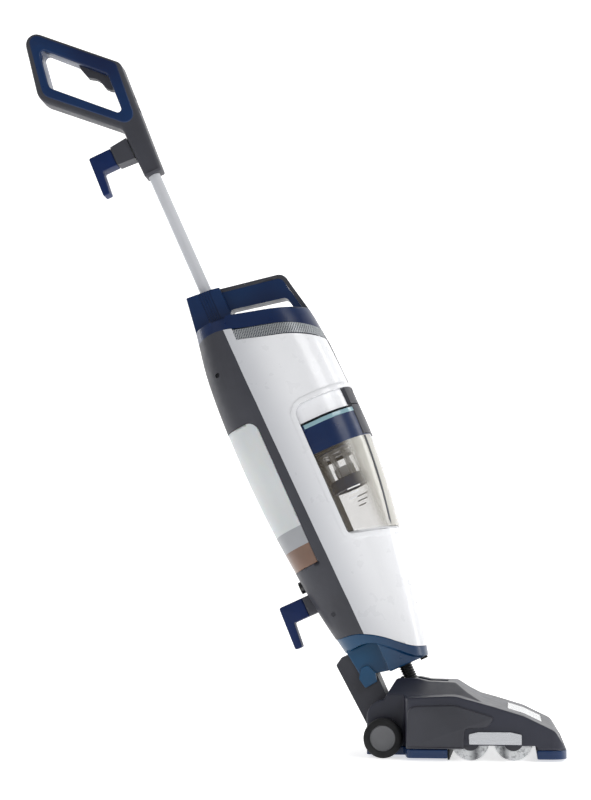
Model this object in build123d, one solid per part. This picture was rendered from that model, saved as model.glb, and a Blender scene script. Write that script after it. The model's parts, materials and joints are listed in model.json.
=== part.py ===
"""Upright wet and dry floor washer, built in two frames and written in one.

The axle frame has x forward from the wheel axle and z up from the floor: the foot is drawn in it.
The body frame has its origin on the wheel axle and z up along the body, so the upright is drawn
standing straight.  to_row() leans it back by REST_LEAN and sets both frames on the row's origin,
which is under the middle of the machine.  Right is -Y and left is +Y, seen from behind the handle.
"""

from build123d import *
from functools import lru_cache
import math
import os

os.makedirs("parts", exist_ok=True)

# ------------------------------------------------------------------ driving dimensions, mm and degrees
REST_LEAN = 24.0          # body axis behind the vertical at rest
AXLE_X = 155.0            # wheel axle ahead of the row's origin
SEAM = 0.2                # open joint between two covers
RUN = 0.5                 # clearance round a piece that slides or swings
PIVOT_PLAY = 0.05         # radial play of a pin in its bore

# wheels, foot and brush rolls
WHEEL_R = 26.5
WHEEL_WIDTH = 24.0
WHEEL_FACE = 125.0        # outer face of a wheel from the middle
HUB_R = 17.5
AXLE_R = 4.0
FOOT_HALF = 150.0
FOOT_FRONT = 245.0
FOOT_REAR = -24.0
REAR_HALF = 98.0          # half width of the foot between its wheels
WHEEL_POCKET = 34.0       # the full width starts this far ahead of the axle
FOOT_WALL = 2.5
SOLE_GAP = 3.0            # ground clearance of the sole
SKIRT_TOP = 15.0          # joint between the blue base and the cover
HUMP_CREST = (42.0, 108.0)    # half width and height where the hump's flanks begin
HUMP_SKIRT = (118.0, 76.0)    # half width and height where they end
ARM_SLOT_HALF = 44.0
ARM_SLOT_FRONT = 26.0
WELL_HALF = 26.0          # recess in the hump for the hose and the neck
ROLL_R = 26.3
ROLL_CORE_R = 13.0
ROLL_PITCH = 57.0
REAR_ROLL_X = 118.0
TUFTS_RIGHT = -146.0
TUFTS_LEFT = 126.0
ROLL_STUB_R = 4.0
ROLL_BEARING_R = 8.0
PULLEY_R = 12.0
MOTOR_PULLEY_R = 8.0
BELT = 2.0                # belt thickness
BELT_WIDTH = 5.0
DRIVE_BELT_Y = 133.0
TRANSFER_BELT_Y = 141.0
BRUSH_MOTOR_R = 20.0
BRUSH_MOTOR_X = 62.0
BRUSH_MOTOR_Z = 42.0
DUCT_HALF = 30.0          # suction duct from the rolls to the hose
DUCT_WALL = 2.0
DUCT_GAP = 4.0
DUCT_FRONT = 60.0
DUCT_MOUTH_REAR = 48.0
PLATE_THICK = 4.0         # steel chassis plate
PANEL_PROUD = 3.0         # side panels stand out this far
LATCH_LENGTH = 69.0
LATCH_HEIGHT = 16.0
LATCH_X = 151.5
LATCH_Z = 30.0

# body
BODY_WALL = 3.0
BODY_STATIONS = (         # height, rear, front, width, corner radius
    (66.0, 6.0, 93.0, 92.0, 40.0),
    (120.0, -9.0, 107.0, 112.0, 46.0),
    (190.0, -22.0, 123.0, 126.0, 52.0),
    (260.0, -30.0, 136.0, 138.0, 56.0),
    (330.0, -36.0, 147.0, 146.0, 58.0),
    (410.0, -39.0, 153.5, 150.0, 58.0),
    (500.0, -38.0, 153.0, 150.0, 58.0),
    (575.0, -33.0, 150.0, 144.0, 57.0),
    (645.0, -22.0, 143.5, 132.0, 56.0),
    (710.0, -14.0, 136.0, 120.0, 54.0),
)
SPINE_SEAM = ((22.0, 618.0), (29.0, 140.0))
TRIM_HALF = 13.0          # half width of the carrying handle and its grey strip
TRIM_THICK = 6.0
LATCH_HALF = 46.0         # half width of the tank's latch, which wraps round the front
LATCH_THICK = 7.0
LATCH_LOW = 400.0
LATCH_TOP = 445.5
LATCH_REAR = 100.0
LATCH_TRAVEL = 2.5
POLE_COLLAR_HALF = 24.0
VENT_SLOTS = 14
VENT_SLOT_WIDTH = 2.4

# tanks
CLEAN_LOW = 258.0
CLEAN_CAP_TOP = 288.0
CLEAN_BAND_TOP = 315.0
CLEAN_TOP = 484.0
CLEAN_FRONT = 11.0
CLEAN_REAR = -60.0        # behind the body's back, which cuts the tank to its shape
CLEAN_CORNER = 16.0
CLEAN_SLOPE = 6.0         # the tank's top falls this far towards its front
TANK_WALL = 2.2
DIRTY_REAR = 60.0
DIRTY_LID_LOW = 398.0
DIRTY_LID_TOP = 442.0
CAGE_X = 96.0
CAGE_R = 29.0
CAGE_LOW = 357.0
CAGE_COLUMNS = 8
CAGE_COLUMN_R = 3.2
CAGE_BASE_THICK = 18.0
FLOAT_R = 15.0
FLOAT_HEIGHT = 16.0
FLOAT_TRAVEL = 14.0

# pole and handle
POLE_R = 9.0
POLE_WALL = 1.0
POLE_X = 15.5
POLE_LOW = 588.0
HANDLE_Z = 899.0          # lower end of the handle's stem
POLE_ENTRY = 45.0         # pole held this far inside the stem
HANDLE_HALF = 18.0
HANDLE_WALL = 3.0
INSERT_THICK = 2.0
LINING = 2.5
HOOK_HALF = 12.0
TRIGGER_HALF = 6.3
TRIGGER_PIVOT = (-30.0, 216.0)

# neck and hose
ARM_HALF = 30.0
HUB_HALF = 42.0
ARM_HUB_R = 20.0
YOKE_THICK = 4.0
HOSE_R = 10.0
HOSE_WALL = 1.5
HOSE_BEND_HEIGHT = 22.0   # straight rise of the hose out of the foot, up to its bend
HOSE_BEND_R = 60.0
HOSE_BODY = (60.0, 94.0)  # upper end of the hose, in the body frame
HOSE_FOOT_Z = 66.0        # lower end of the hose, in the axle frame
HOSE_NECK = 3.0           # wall of the ring in the collar that holds the hose

# inner machinery
FAN_MOTOR_R = 37.0
FAN_MOTOR_X = 88.0
FAN_MOTOR_LOW = 492.0
FAN_MOTOR_HEIGHT = 66.0
FAN_R = 32.0

FAR = 400.0               # reaches past any piece


# ------------------------------------------------------------------ drawing helpers
def hose_top():
    """Upper end of the hose in the axle frame, at rest."""
    lean = math.radians(REST_LEAN)
    x, z = HOSE_BODY
    return x * math.cos(lean) - z * math.sin(lean), WHEEL_R + x * math.sin(lean) + z * math.cos(lean)


def hose_foot_x():
    """Where the hose stands on the foot, so that its upper run lies along the body."""
    x_upper, z_upper = hose_top()
    bend_z = HOSE_FOOT_Z + HOSE_BEND_HEIGHT
    return x_upper + (z_upper - bend_z) * math.tan(math.radians(REST_LEAN))


def side_face(points, radii=0.0):
    """A face in the side view, from (forward, up) points with a corner radius at each."""
    if radii == 0.0:
        return Plane.XZ * make_face(Polyline(*points, close=True))
    return Plane.XZ * make_face(FilletPolyline(*points, radius=radii, close=True))


def slab(face, y_low, y_high):
    """A side-view face made solid between two distances across the machine."""
    return Pos(0, y_high, 0) * extrude(face, amount=y_high - y_low, dir=(0, -1, 0))


def side_slab(points, y_low, y_high, radii=0.0):
    """A side-view outline made solid between two distances across the machine."""
    return slab(side_face(points, radii), y_low, y_high)


def plan_prism(points, z_low, z_high, radii):
    """A top-view outline made solid between two heights."""
    outline = FilletPolyline(*points, radius=radii, close=True)
    return Pos(0, 0, z_low) * extrude(make_face(outline), amount=z_high - z_low)


def rod_x(x_low, x_high, z, radius, y=0.0):
    """A round bar from back to front."""
    return Pos((x_low + x_high) / 2, y, z) * Rot(0, 90, 0) * Cylinder(radius, x_high - x_low)


def rod_y(x, z, radius, y_low, y_high):
    """A round bar across the machine."""
    return Pos(x, (y_low + y_high) / 2, z) * Rot(90, 0, 0) * Cylinder(radius, y_high - y_low)


def rod_z(x, y, radius, z_low, z_high):
    """A round bar along the body."""
    return Pos(x, y, (z_low + z_high) / 2) * Cylinder(radius, z_high - z_low)


def block(x_low, x_high, y_low, y_high, z_low, z_high):
    """A box from its limits."""
    middle = Pos((x_low + x_high) / 2, (y_low + y_high) / 2, (z_low + z_high) / 2)
    return middle * Box(x_high - x_low, y_high - y_low, z_high - z_low)


def mirrored(points):
    """The points, then their mirror images back the other way, for a symmetric plan outline."""
    return list(points) + [(x, -y) for x, y in reversed(points)]


def under_curve(points):
    """Everything in the body under a smooth side-view line."""
    (x_first, z_first), (x_last, z_last) = points[0], points[-1]
    rest = Polyline((x_last, z_last), (FAR, z_last), (FAR, -FAR), (-FAR, -FAR), (-FAR, z_first),
                    (x_first, z_first))
    return slab(Plane.XZ * make_face(Spline(*points) + rest), -FAR, FAR)


@lru_cache(maxsize=None)
def body_form(inset=0.0):
    """The outer form of the body, or the form that a wall of that thickness leaves inside."""
    sections = []
    for height, rear, front, width, corner in BODY_STATIONS:
        section = RectangleRounded(front - rear - 2 * inset, width - 2 * inset, corner - inset)
        sections.append(Pos((front + rear) / 2, 0, height) * section)
    return loft(sections, ruled=True)


def to_row(shape):
    """Leans a piece of the upright back to its rest position."""
    return Pos(AXLE_X, 0, WHEEL_R) * Rot(0, -REST_LEAN, 0) * shape


def write(name, shape, upright=True):
    """Writes one node in the row's frame."""
    placed = to_row(shape) if upright else Pos(AXLE_X, 0, 0) * shape
    export_step(Compound(children=placed.solids(), label=name), f"parts/{name}.step")


# ------------------------------------------------------------------ foot
COVER_SIDE = [(FOOT_REAR, SKIRT_TOP), (FOOT_REAR, 72), (20, 81), (98, 85), (150, 71), (190, 59), (230, 40),
              (FOOT_FRONT, SKIRT_TOP)]
COVER_SIDE_RADII = [0.0, 24.0, 20.0, 60.0, 40.0, 30.0, 14.0, 0.0]
HUMP_SIDE = [(-9, 60), (15, 104.5), (44, 104), (60, 100.5), (97, 99.5), (114, 87), (140, 72), (150, 60)]
HUMP_RADII = [0.0, 6.0, 10.0, 10.0, 8.0, 20.0, 10.0, 0.0]
HUMP_FLANK_RADII = [0.0, 10.0, 30.0, 30.0, 10.0, 0.0]
PLAN_CORNER = 22.0
WINDOW_REAR = 168.0
WINDOW_FRONT = 214.0
WINDOW_HALF = 75.0
SIDE_OPENING = (88.0, 206.0, 20.0)     # rear, front and top of the open side over the rolls
CHAMBER_REAR = 88.0
CHAMBER_FRONT = 206.0
FRONT_ROLL_X = REAR_ROLL_X + ROLL_PITCH


def foot_plan(inset, z_low, z_high):
    """The foot's plan outline, narrower between the wheels."""
    points = mirrored([
        (FOOT_REAR + inset, REAR_HALF - inset),
        (WHEEL_POCKET - 6 + inset, REAR_HALF - inset),
        (WHEEL_POCKET + inset, FOOT_HALF - inset),
        (FOOT_FRONT - inset, FOOT_HALF - inset),
    ])
    corner = PLAN_CORNER - inset
    return plan_prism(points, z_low, z_high, [4.0, 2.0, 8.0, corner, corner, 8.0, 2.0, 4.0])


def hump_flanks(inset):
    """The hump's front view made solid: a flat crest between two long slopes."""
    (crest, top), (skirt, low) = HUMP_CREST, HUMP_SKIRT
    points = [(-skirt, 0), (-skirt, low), (-crest, top), (crest, top), (skirt, low), (skirt, 0)]
    face = make_face(FilletPolyline(*points, radius=HUMP_FLANK_RADII, close=True))
    return extrude(Plane.YZ * offset(face, -inset), amount=FAR, both=True)


def cover_form(inset):
    """The foot cover's outer form, or its inside."""
    plan = foot_plan(inset, 0, 200)
    wide = slab(offset(side_face(COVER_SIDE, COVER_SIDE_RADII), -inset), -FOOT_HALF, FOOT_HALF)
    hump = slab(offset(side_face(HUMP_SIDE, HUMP_RADII), -inset), -FOOT_HALF, FOOT_HALF)
    return (wide & plan) + (hump & hump_flanks(inset) & plan)


def window_block(gap):
    """The space of the viewing window in the sloping front of the cover."""
    return block(WINDOW_REAR - gap, WINDOW_FRONT + gap, -WINDOW_HALF - gap, WINDOW_HALF + gap, 35, 90)


def foot_cover():
    """Dark shell over the rolls, with the arm's slot, the hose well and the window's opening."""
    skirt = foot_plan(FOOT_WALL, 0, SKIRT_TOP + 2 * FOOT_WALL)
    shell = cover_form(0) - cover_form(FOOT_WALL) - skirt
    shell -= block(-FAR, ARM_SLOT_FRONT, -ARM_SLOT_HALF, ARM_SLOT_HALF, 0, 200)
    well_floor = HOSE_FOOT_Z + FOOT_WALL
    well = block(ARM_SLOT_FRONT - 1, 84, -WELL_HALF, WELL_HALF, well_floor, 200)
    well_wall = block(ARM_SLOT_FRONT, 84 + FOOT_WALL, -WELL_HALF - FOOT_WALL, WELL_HALF + FOOT_WALL,
                      HOSE_FOOT_Z, 99)
    wall_half = ARM_SLOT_HALF + FOOT_WALL
    walls = block(ARM_SLOT_FRONT, ARM_SLOT_FRONT + FOOT_WALL, -wall_half, wall_half, SKIRT_TOP, 100)
    for y in (-ARM_SLOT_HALF - FOOT_WALL, ARM_SLOT_HALF):
        walls += block(FOOT_REAR + 1, ARM_SLOT_FRONT, y, y + FOOT_WALL, SKIRT_TOP, 100)
    shell = shell + ((well_wall + walls) & cover_form(0)) - well
    shell -= rod_z(hose_foot_x(), 0, HOSE_R + 1.0, 60, 75)
    shell -= window_block(SEAM)
    low_side = block(SIDE_OPENING[0], SIDE_OPENING[1], -FAR, TUFTS_RIGHT, 0, SIDE_OPENING[2])
    for x in (REAR_ROLL_X, FRONT_ROLL_X):
        shell += rod_y(x, ROLL_R, ROLL_STUB_R, -FOOT_HALF + 1, TUFTS_RIGHT + 8)
    shell -= rod_y(0, WHEEL_R, AXLE_R + PIVOT_PLAY, -FAR, FAR)
    return shell - low_side


def brush_window():
    """Clear pane in the cover's front slope, over the front roll."""
    pane = cover_form(0) - cover_form(FOOT_WALL)
    return pane & window_block(0)


def foot_base():
    """Blue lower shell: sole, skirt, roll opening, axle ribs and the left roll bearings."""
    base = foot_plan(0, SOLE_GAP, SKIRT_TOP - SEAM) - foot_plan(FOOT_WALL, SOLE_GAP + FOOT_WALL, 100)
    base -= block(CHAMBER_REAR, CHAMBER_FRONT, -FAR, TUFTS_LEFT + 1, 0, SOLE_GAP + FOOT_WALL + 1)
    base -= block(SIDE_OPENING[0], SIDE_OPENING[1], -FAR, TUFTS_RIGHT, 0, SIDE_OPENING[2])
    base -= block(-FAR, -12, -ARM_SLOT_HALF, ARM_SLOT_HALF, 0, 200)
    sole = SOLE_GAP + 1
    base += block(CHAMBER_REAR - FOOT_WALL, CHAMBER_REAR, TUFTS_RIGHT, TUFTS_LEFT, SOLE_GAP, 16)
    for y in (-ARM_SLOT_HALF - 10, ARM_SLOT_HALF + 4, -REAR_HALF + 4, REAR_HALF - 10):
        base += block(-9, 9, y, y + 6, sole, WHEEL_R) + rod_y(0, WHEEL_R, 9, y, y + 6)
    bearing_low = TUFTS_LEFT + 1
    for x in (REAR_ROLL_X, FRONT_ROLL_X):
        base += block(x - 12, x + 12, bearing_low, bearing_low + 2, sole, ROLL_R)
        base += rod_y(x, ROLL_R, 12, bearing_low, bearing_low + 2)
        base -= rod_y(x, ROLL_R, ROLL_BEARING_R + PIVOT_PLAY, 0, FAR)
    base += block(BRUSH_MOTOR_X - 14, BRUSH_MOTOR_X + 14, 46, 50, sole, BRUSH_MOTOR_Z - 8)
    base += block(BRUSH_MOTOR_X - 14, BRUSH_MOTOR_X + 14, 98, 102, sole, BRUSH_MOTOR_Z - 8)
    base -= rod_y(BRUSH_MOTOR_X, BRUSH_MOTOR_Z, BRUSH_MOTOR_R, 40, 110)
    return base - rod_y(0, WHEEL_R, AXLE_R + PIVOT_PLAY, -FAR, FAR)


def side_panel(side):
    """Bulged panel on a side of the foot: the right one leaves room for the roll latch."""
    if side < 0:
        outline = [(33, 15.5), (36, 71), (98, 73), (152, 57), (141, 43.5), (112, 42), (110, 15.5)]
        radii = [2.0, 10.0, 30.0, 3.0, 4.0, 4.0, 2.0]
    else:
        outline = [(33, 15.5), (36, 71), (98, 73), (190, 52), (206, 15.5)]
        radii = [2.0, 10.0, 30.0, 12.0, 3.0]
    near, far = FOOT_HALF + SEAM, FOOT_HALF + PANEL_PROUD
    return side_slab(outline, *sorted((side * near, side * far)), radii)


def chassis_plate():
    """Steel plate on the sole behind the rolls, which carries the motor and keeps the foot down."""
    floor = SOLE_GAP + FOOT_WALL
    plate = block(CHAMBER_REAR - 50, CHAMBER_REAR - 5, -FOOT_HALF + 8, FOOT_HALF - 8, floor, floor + PLATE_THICK)
    for y in (46, 98):
        plate -= block(BRUSH_MOTOR_X - 15, BRUSH_MOTOR_X + 15, y - 1, y + 5, 0, 50)
    return plate - block(40, 100, -31, 31, 0, 50)


def suction_duct():
    """Duct from the slot behind the rear roll up to the hose."""
    floor = SOLE_GAP + FOOT_WALL
    rear = ARM_SLOT_FRONT + FOOT_WALL + SEAM
    front = CHAMBER_REAR - DUCT_GAP
    outline = [(DUCT_MOUTH_REAR, floor), (front, floor), (front, 20), (DUCT_FRONT, 34), (DUCT_FRONT, HOSE_FOOT_Z),
               (rear, HOSE_FOOT_Z), (rear, 34)]
    hollow = slab(offset(side_face(outline), -DUCT_WALL), -DUCT_HALF + DUCT_WALL, DUCT_HALF - DUCT_WALL)
    mouth = block(DUCT_MOUTH_REAR + DUCT_WALL, front - DUCT_WALL, -DUCT_HALF + DUCT_WALL, DUCT_HALF - DUCT_WALL,
                  floor - 1, floor + DUCT_WALL + 1)
    duct = side_slab(outline, -DUCT_HALF, DUCT_HALF) - hollow - mouth
    return duct - rod_z(hose_foot_x(), 0, HOSE_R - HOSE_WALL, HOSE_FOOT_Z - DUCT_WALL - 1, HOSE_FOOT_Z + 1)


def squeegee():
    """Rubber blade that stands behind the rear roll."""
    return block(CHAMBER_REAR, CHAMBER_REAR + 2.4, TUFTS_RIGHT + 2, TUFTS_LEFT - 2, 1.0, 15)


def brush_motor():
    """Roll motor: a steel can with a hollow for its rotor."""
    can = rod_y(BRUSH_MOTOR_X, BRUSH_MOTOR_Z, BRUSH_MOTOR_R - 0.2, 46, 102)
    return can - rod_y(BRUSH_MOTOR_X, BRUSH_MOTOR_Z, BRUSH_MOTOR_R - 5, 50, 98) \
        - rod_y(BRUSH_MOTOR_X, BRUSH_MOTOR_Z, 3 + PIVOT_PLAY, 90, 110)


def motor_pulley():
    """Rotor, shaft and pulley of the roll motor, one turning piece."""
    width = BELT_WIDTH + 1
    piece = rod_y(BRUSH_MOTOR_X, BRUSH_MOTOR_Z, 12, 53, 95)
    piece += rod_y(BRUSH_MOTOR_X, BRUSH_MOTOR_Z, 3, 95, DRIVE_BELT_Y + width / 2)
    return piece + rod_y(BRUSH_MOTOR_X, BRUSH_MOTOR_Z, MOTOR_PULLEY_R, DRIVE_BELT_Y - width / 2,
                         DRIVE_BELT_Y + width / 2)


def belt(x_a, z_a, r_a, x_b, z_b, r_b, middle):
    """A flat belt round two pulleys: two arcs and the straight runs between them."""
    gap = 0.15

    def loop(extra):
        angle = math.atan2(z_b - z_a, x_b - x_a)
        length = math.hypot(x_b - x_a, z_b - z_a)
        spread = math.acos((r_a - r_b) / length)
        corners = []
        for turn in (spread, -spread):
            for x, z, r in ((x_a, z_a, r_a + extra), (x_b, z_b, r_b + extra)):
                corners.append((x + r * math.cos(angle + turn), z + r * math.sin(angle + turn)))
        top_a, top_b, low_a, low_b = corners
        far_a = (x_a - (r_a + extra) * math.cos(angle), z_a - (r_a + extra) * math.sin(angle))
        far_b = (x_b + (r_b + extra) * math.cos(angle), z_b + (r_b + extra) * math.sin(angle))
        edges = Line(top_a, top_b) + ThreePointArc(top_b, far_b, low_b)
        edges += Line(low_b, low_a) + ThreePointArc(low_a, far_a, top_a)
        return slab(Plane.XZ * make_face(edges), middle - BELT_WIDTH / 2, middle + BELT_WIDTH / 2)

    return loop(gap + BELT) - loop(gap)


def roll_core(x, pulleys):
    """Roll tube with its end bearing and pulleys."""
    core = rod_y(x, ROLL_R, ROLL_CORE_R, TUFTS_RIGHT, TUFTS_LEFT)
    core += rod_y(x, ROLL_R, ROLL_BEARING_R, TUFTS_LEFT, TRANSFER_BELT_Y + 5)
    for middle in pulleys:
        core += rod_y(x, ROLL_R, PULLEY_R, middle - BELT_WIDTH / 2 - 0.5, middle + BELT_WIDTH / 2 + 0.5)
    core -= rod_y(x, ROLL_R, ROLL_CORE_R - 2.5, TUFTS_RIGHT + 12, TUFTS_LEFT - 4)
    return core - rod_y(x, ROLL_R, ROLL_STUB_R + PIVOT_PLAY, TUFTS_RIGHT - 1, TUFTS_RIGHT + 12)


def roll_tufts(x):
    """The soft sleeve of a roll."""
    return rod_y(x, ROLL_R, ROLL_R, TUFTS_RIGHT + 1, TUFTS_LEFT - 1) - rod_y(x, ROLL_R, ROLL_CORE_R, -FAR, FAR)


def tyre(side):
    """Rubber tread of a wheel."""
    low, high = sorted((side * WHEEL_FACE, side * (WHEEL_FACE - WHEEL_WIDTH)))
    ring = rod_y(0, WHEEL_R, WHEEL_R, low, high)
    ring = fillet(ring.edges(), 2.0)
    return ring - rod_y(0, WHEEL_R, HUB_R, low, high)


def hub(side):
    """Disc and bushing of a wheel."""
    low, high = sorted((side * (WHEEL_FACE - 1.5), side * (WHEEL_FACE - WHEEL_WIDTH)))
    disc = rod_y(0, WHEEL_R, HUB_R, low, high)
    blind = sorted((side * (WHEEL_FACE - 6), side * 90))
    return disc - rod_y(0, WHEEL_R, AXLE_R + PIVOT_PLAY, *blind)


def wheel_axle():
    """Steel axle through both wheels, the foot and the neck arm."""
    return rod_y(0, WHEEL_R, AXLE_R, -WHEEL_FACE + 6.3, WHEEL_FACE - 6.3)


def brush_latch():
    """Chrome plate on the right side that holds the rolls' end cap, hinged along its top edge."""
    low, high = LATCH_Z - LATCH_HEIGHT / 2, LATCH_Z + LATCH_HEIGHT / 2
    half = LATCH_LENGTH / 2
    plate = side_slab([(LATCH_X - half, low), (LATCH_X - half, high - 3), (LATCH_X - half + 12, high),
                       (LATCH_X + half - 14, high), (LATCH_X + half, high - 3), (LATCH_X + half, low)],
                      -FOOT_HALF - PANEL_PROUD, -FOOT_HALF - SEAM, [1.0, 1.5, 6.0, 6.0, 1.5, 1.0])
    return plate


# ------------------------------------------------------------------ neck and collar
COLLAR_TOP = [(-30, 158), (-8, 148), (14, 145), (30, 139), (50, 126.5), (70, 109), (88, 95), (104, 89), (130, 86)]
BAND_LOW = [(-30, 132), (-8, 126), (18, 127), (34, 123), (50, 111), (66, 96), (82, 82), (100, 76), (130, 74)]
CHIN_INSET = 2.5
CHIN_LOW = 77.0
CHIN_REAR = 40.0
ARM_TOP = 123.0
TAB_PIVOT = (8.0, 91.0)
TAB_PIN_R = 2.5


def neck_arm():
    """Arm from the wheel axle up into the collar, which the body leans back on."""
    arm = side_slab([(-20, 0), (-28, ARM_TOP - 7), (-16, ARM_TOP), (20, ARM_TOP), (20, 30), (19, 0)], -ARM_HALF, ARM_HALF,
                    [0.0, 3.0, 4.0, 4.0, 20.0, 0.0])
    arm -= side_slab([(-15, 26), (-22, ARM_TOP - 11), (-15, ARM_TOP - 6), (14, ARM_TOP - 6), (14, 30)], -ARM_HALF + 4, ARM_HALF - 4)
    arm += rod_y(0, 0, ARM_HUB_R, -HUB_HALF, HUB_HALF)
    return arm - rod_y(0, 0, AXLE_R + PIVOT_PLAY, -FAR, FAR)


def base_collar():
    """Blue collar under the body: band, chin and the yoke that clasps the neck arm."""
    form, inside = body_form(), body_form(BODY_WALL)
    band = (form - inside) & (under_curve(COLLAR_TOP) - under_curve(BAND_LOW))
    chin_form = body_form(CHIN_INSET)
    overlap = under_curve([(x, z + 2 * BODY_WALL) for x, z in BAND_LOW])
    chin = (chin_form - body_form(CHIN_INSET + BODY_WALL)) & overlap
    chin &= block(CHIN_REAR, FAR, -FAR, FAR, CHIN_LOW, FAR)
    floor = chin_form & block(CHIN_REAR, FAR, -FAR, FAR, CHIN_LOW, CHIN_LOW + BODY_WALL)
    rear_wall = chin_form & under_curve(BAND_LOW) & block(CHIN_REAR, CHIN_REAR + BODY_WALL, -FAR, FAR, CHIN_LOW, FAR)
    collar = band + chin + floor + rear_wall
    for y in (-ARM_HALF - SEAM - YOKE_THICK, ARM_HALF + SEAM):
        collar += side_slab([(-7, 128), (44, 122), (43, 78), (24, 82), (-2, 90)], y, y + YOKE_THICK)
    ledge = side_slab([(-6, ARM_TOP + SEAM), (44, ARM_TOP + SEAM), (44, ARM_TOP + 4), (-6, ARM_TOP + 4)],
                      -ARM_HALF - SEAM - YOKE_THICK, ARM_HALF + SEAM + YOKE_THICK)
    collar += form & ledge
    collar -= rod_y(*TAB_PIVOT, TAB_PIN_R + PIVOT_PLAY, -ARM_HALF - YOKE_THICK - 2, -ARM_HALF)
    collar += rod_z(HOSE_BODY[0], 0, HOSE_R + HOSE_NECK, CHIN_LOW, HOSE_BODY[1])
    return collar - rod_z(HOSE_BODY[0], 0, HOSE_R + SEAM, CHIN_LOW - 5, HOSE_BODY[1] + 1)


def recline_latch():
    """Sprung tab on the yoke that frees the neck."""
    y_high = -ARM_HALF - SEAM - YOKE_THICK - 0.3
    tab = side_slab([(-2, 70), (-5, 86), (4, 98), (14, 98), (20, 84), (17, 72)], y_high - 6, y_high,
                    [2.0, 3.0, 4.0, 4.0, 3.0, 2.0])
    return tab + rod_y(*TAB_PIVOT, TAB_PIN_R, y_high - 1, y_high + YOKE_THICK + 0.2)


def collar_bumper():
    """Rubber stop under the chin, which meets the foot when the machine is parked."""
    return block(84, 94, -9, 9, CHIN_LOW - 3, CHIN_LOW)


def hose():
    """Corrugated suction hose from the foot's duct to the collar, one gentle bend."""
    x_upper, z_upper = hose_top()
    start = Vector(hose_foot_x(), 0, HOSE_FOOT_Z)
    bend = start + Vector(0, 0, HOSE_BEND_HEIGHT)
    path = FilletPolyline(start, bend, Vector(x_upper, 0, z_upper), radius=HOSE_BEND_R)
    section = Plane(origin=start, z_dir=(0, 0, 1))
    outer = sweep(section * Circle(HOSE_R), path=path)
    inner = sweep(section * Circle(HOSE_R - HOSE_WALL), path=path)
    return outer - inner


# ------------------------------------------------------------------ body shells
CAP_SEAM = [(-40, 622), (-14, 624), (4, 623.5), (22, 620), (55, 609), (82, 601), (109, 592), (134, 580),
            (160, 562)]
VENT_LOW = [(20, 600), (43, 595), (70, 586), (99, 577), (128, 565), (160, 547)]
VENT_REAR = 34.0
CAP_OUTLINE = [(-60, 540), (-60, 702), (26, 694), (133, 672.5), (147, 600), (151.5, 560), (151.5, 540)]
CAP_RADII = [0.0, 0.0, 0.0, 15.0, 60.0, 0.0, 0.0]
DECK_LINE = [(-60, 646), (38, 637), (126, 611), (170, 598)]
CARRY_SLOT = [(38, 637), (38, 656), (123, 637), (128, 611)]
WINDOW = [(175, 473), (68.5, 473), (67, 275), (175, 246)]
WINDOW_RADII = [0.0, 17.0, 9.0, 0.0]
LIP_WIDTH = 7.0
LIP_PROUD = 1.2
TRIM_FOOT_TOP = 479.0
BAY_SHELF = 446.0
BAY_ROOF = 476.0
TANK_LOW = [(175, 250.5), (60, 281)]


def seam_x(height):
    """Where the spine's side seam lies at a height."""
    (x_top, z_top), (x_low, z_low) = SPINE_SEAM
    return x_low + (x_top - x_low) * (height - z_low) / (z_top - z_low)


def behind_seam():
    """Everything behind the spine's side seam."""
    return side_slab([(-FAR, 0), (seam_x(0), 0), (seam_x(800), 800), (-FAR, 800)], -FAR, FAR)


def window_face(grow=0.0):
    """The tank window's outline, or one that much larger."""
    face = side_face(WINDOW, WINDOW_RADII)
    return offset(face, grow) if grow else face


def clean_bay(inset):
    """The clean tank's side view made solid, rounded at its upper front corner."""
    low, high, front = CLEAN_LOW + inset, CLEAN_TOP - inset, CLEAN_FRONT - inset
    outline = [(CLEAN_REAR, low), (CLEAN_REAR, high), (front, high - CLEAN_SLOPE), (front, low)]
    return side_slab(outline, -FAR, FAR, [0.0, 0.0, CLEAN_CORNER - inset, 0.0])


def spine_shell(form, wall):
    """Grey spine down the back, with the bay for the clean tank and the lower hook's boss."""
    zone = behind_seam() & (under_curve(CAP_SEAM) - under_curve(COLLAR_TOP))
    lining = form & behind_seam() & clean_bay(-RUN - BODY_WALL)
    spine = (wall & zone) + lining - clean_bay(-RUN)
    boss = block(LOWER_HOOK_X, -10, -HOOK_HALF, HOOK_HALF, LOWER_HOOK_Z - 14, LOWER_HOOK_Z + 14)
    spine += boss - body_form(BODY_WALL / 2)
    spine -= rod_x(LOWER_HOOK_X - 1, LOWER_HOOK_X + 7, LOWER_HOOK_Z, HOOK_PIN_R + PIVOT_PLAY)
    for x, z in SPINE_SCREWS:
        for side in (-1, 1):
            spine -= Pos(x, side * 60, z) * Rot(90, 0, 0) * Cylinder(3.6, 60)
    spine -= Pos(GLAND_X, 0, GLAND_Z) * Rot(0, 90, 0) * Cylinder(GLAND_R + SEAM, 40)
    return spine


def side_shell(side, wall, lip_wall):
    """White half of the body, with the raised lip round the tank window."""
    zone = under_curve(CAP_SEAM) - under_curve(COLLAR_TOP) - behind_seam()
    half = block(-FAR, FAR, *sorted((side * SEAM / 2, side * FAR)), 0, 900)
    lip = lip_wall & slab(window_face(LIP_WIDTH), -FAR, FAR)
    shell = ((wall & zone) + (lip & zone)) & half
    shell -= slab(window_face(), -FAR, FAR)
    shell -= vent_zone()
    return shell - trim_zone(SEAM)


def vent_zone():
    """The vent band's space, under the cap and ahead of its rear end."""
    return (under_curve(CAP_SEAM) - under_curve(VENT_LOW)) & block(VENT_REAR, FAR, -FAR, FAR, 500, 700)


def vent_grille(wall):
    """Silver band of exhaust slots round the front of the body."""
    band = wall & vent_zone()
    band -= trim_zone(SEAM)
    for index in range(VENT_SLOTS):
        x = VENT_REAR + 8 + index * 7.0
        z = 606.5 - 0.36 * (x - VENT_REAR)
        band -= block(x, x + VENT_SLOT_WIDTH, -FAR, FAR, z - 4.5, z + 3.5)
    return band


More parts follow.
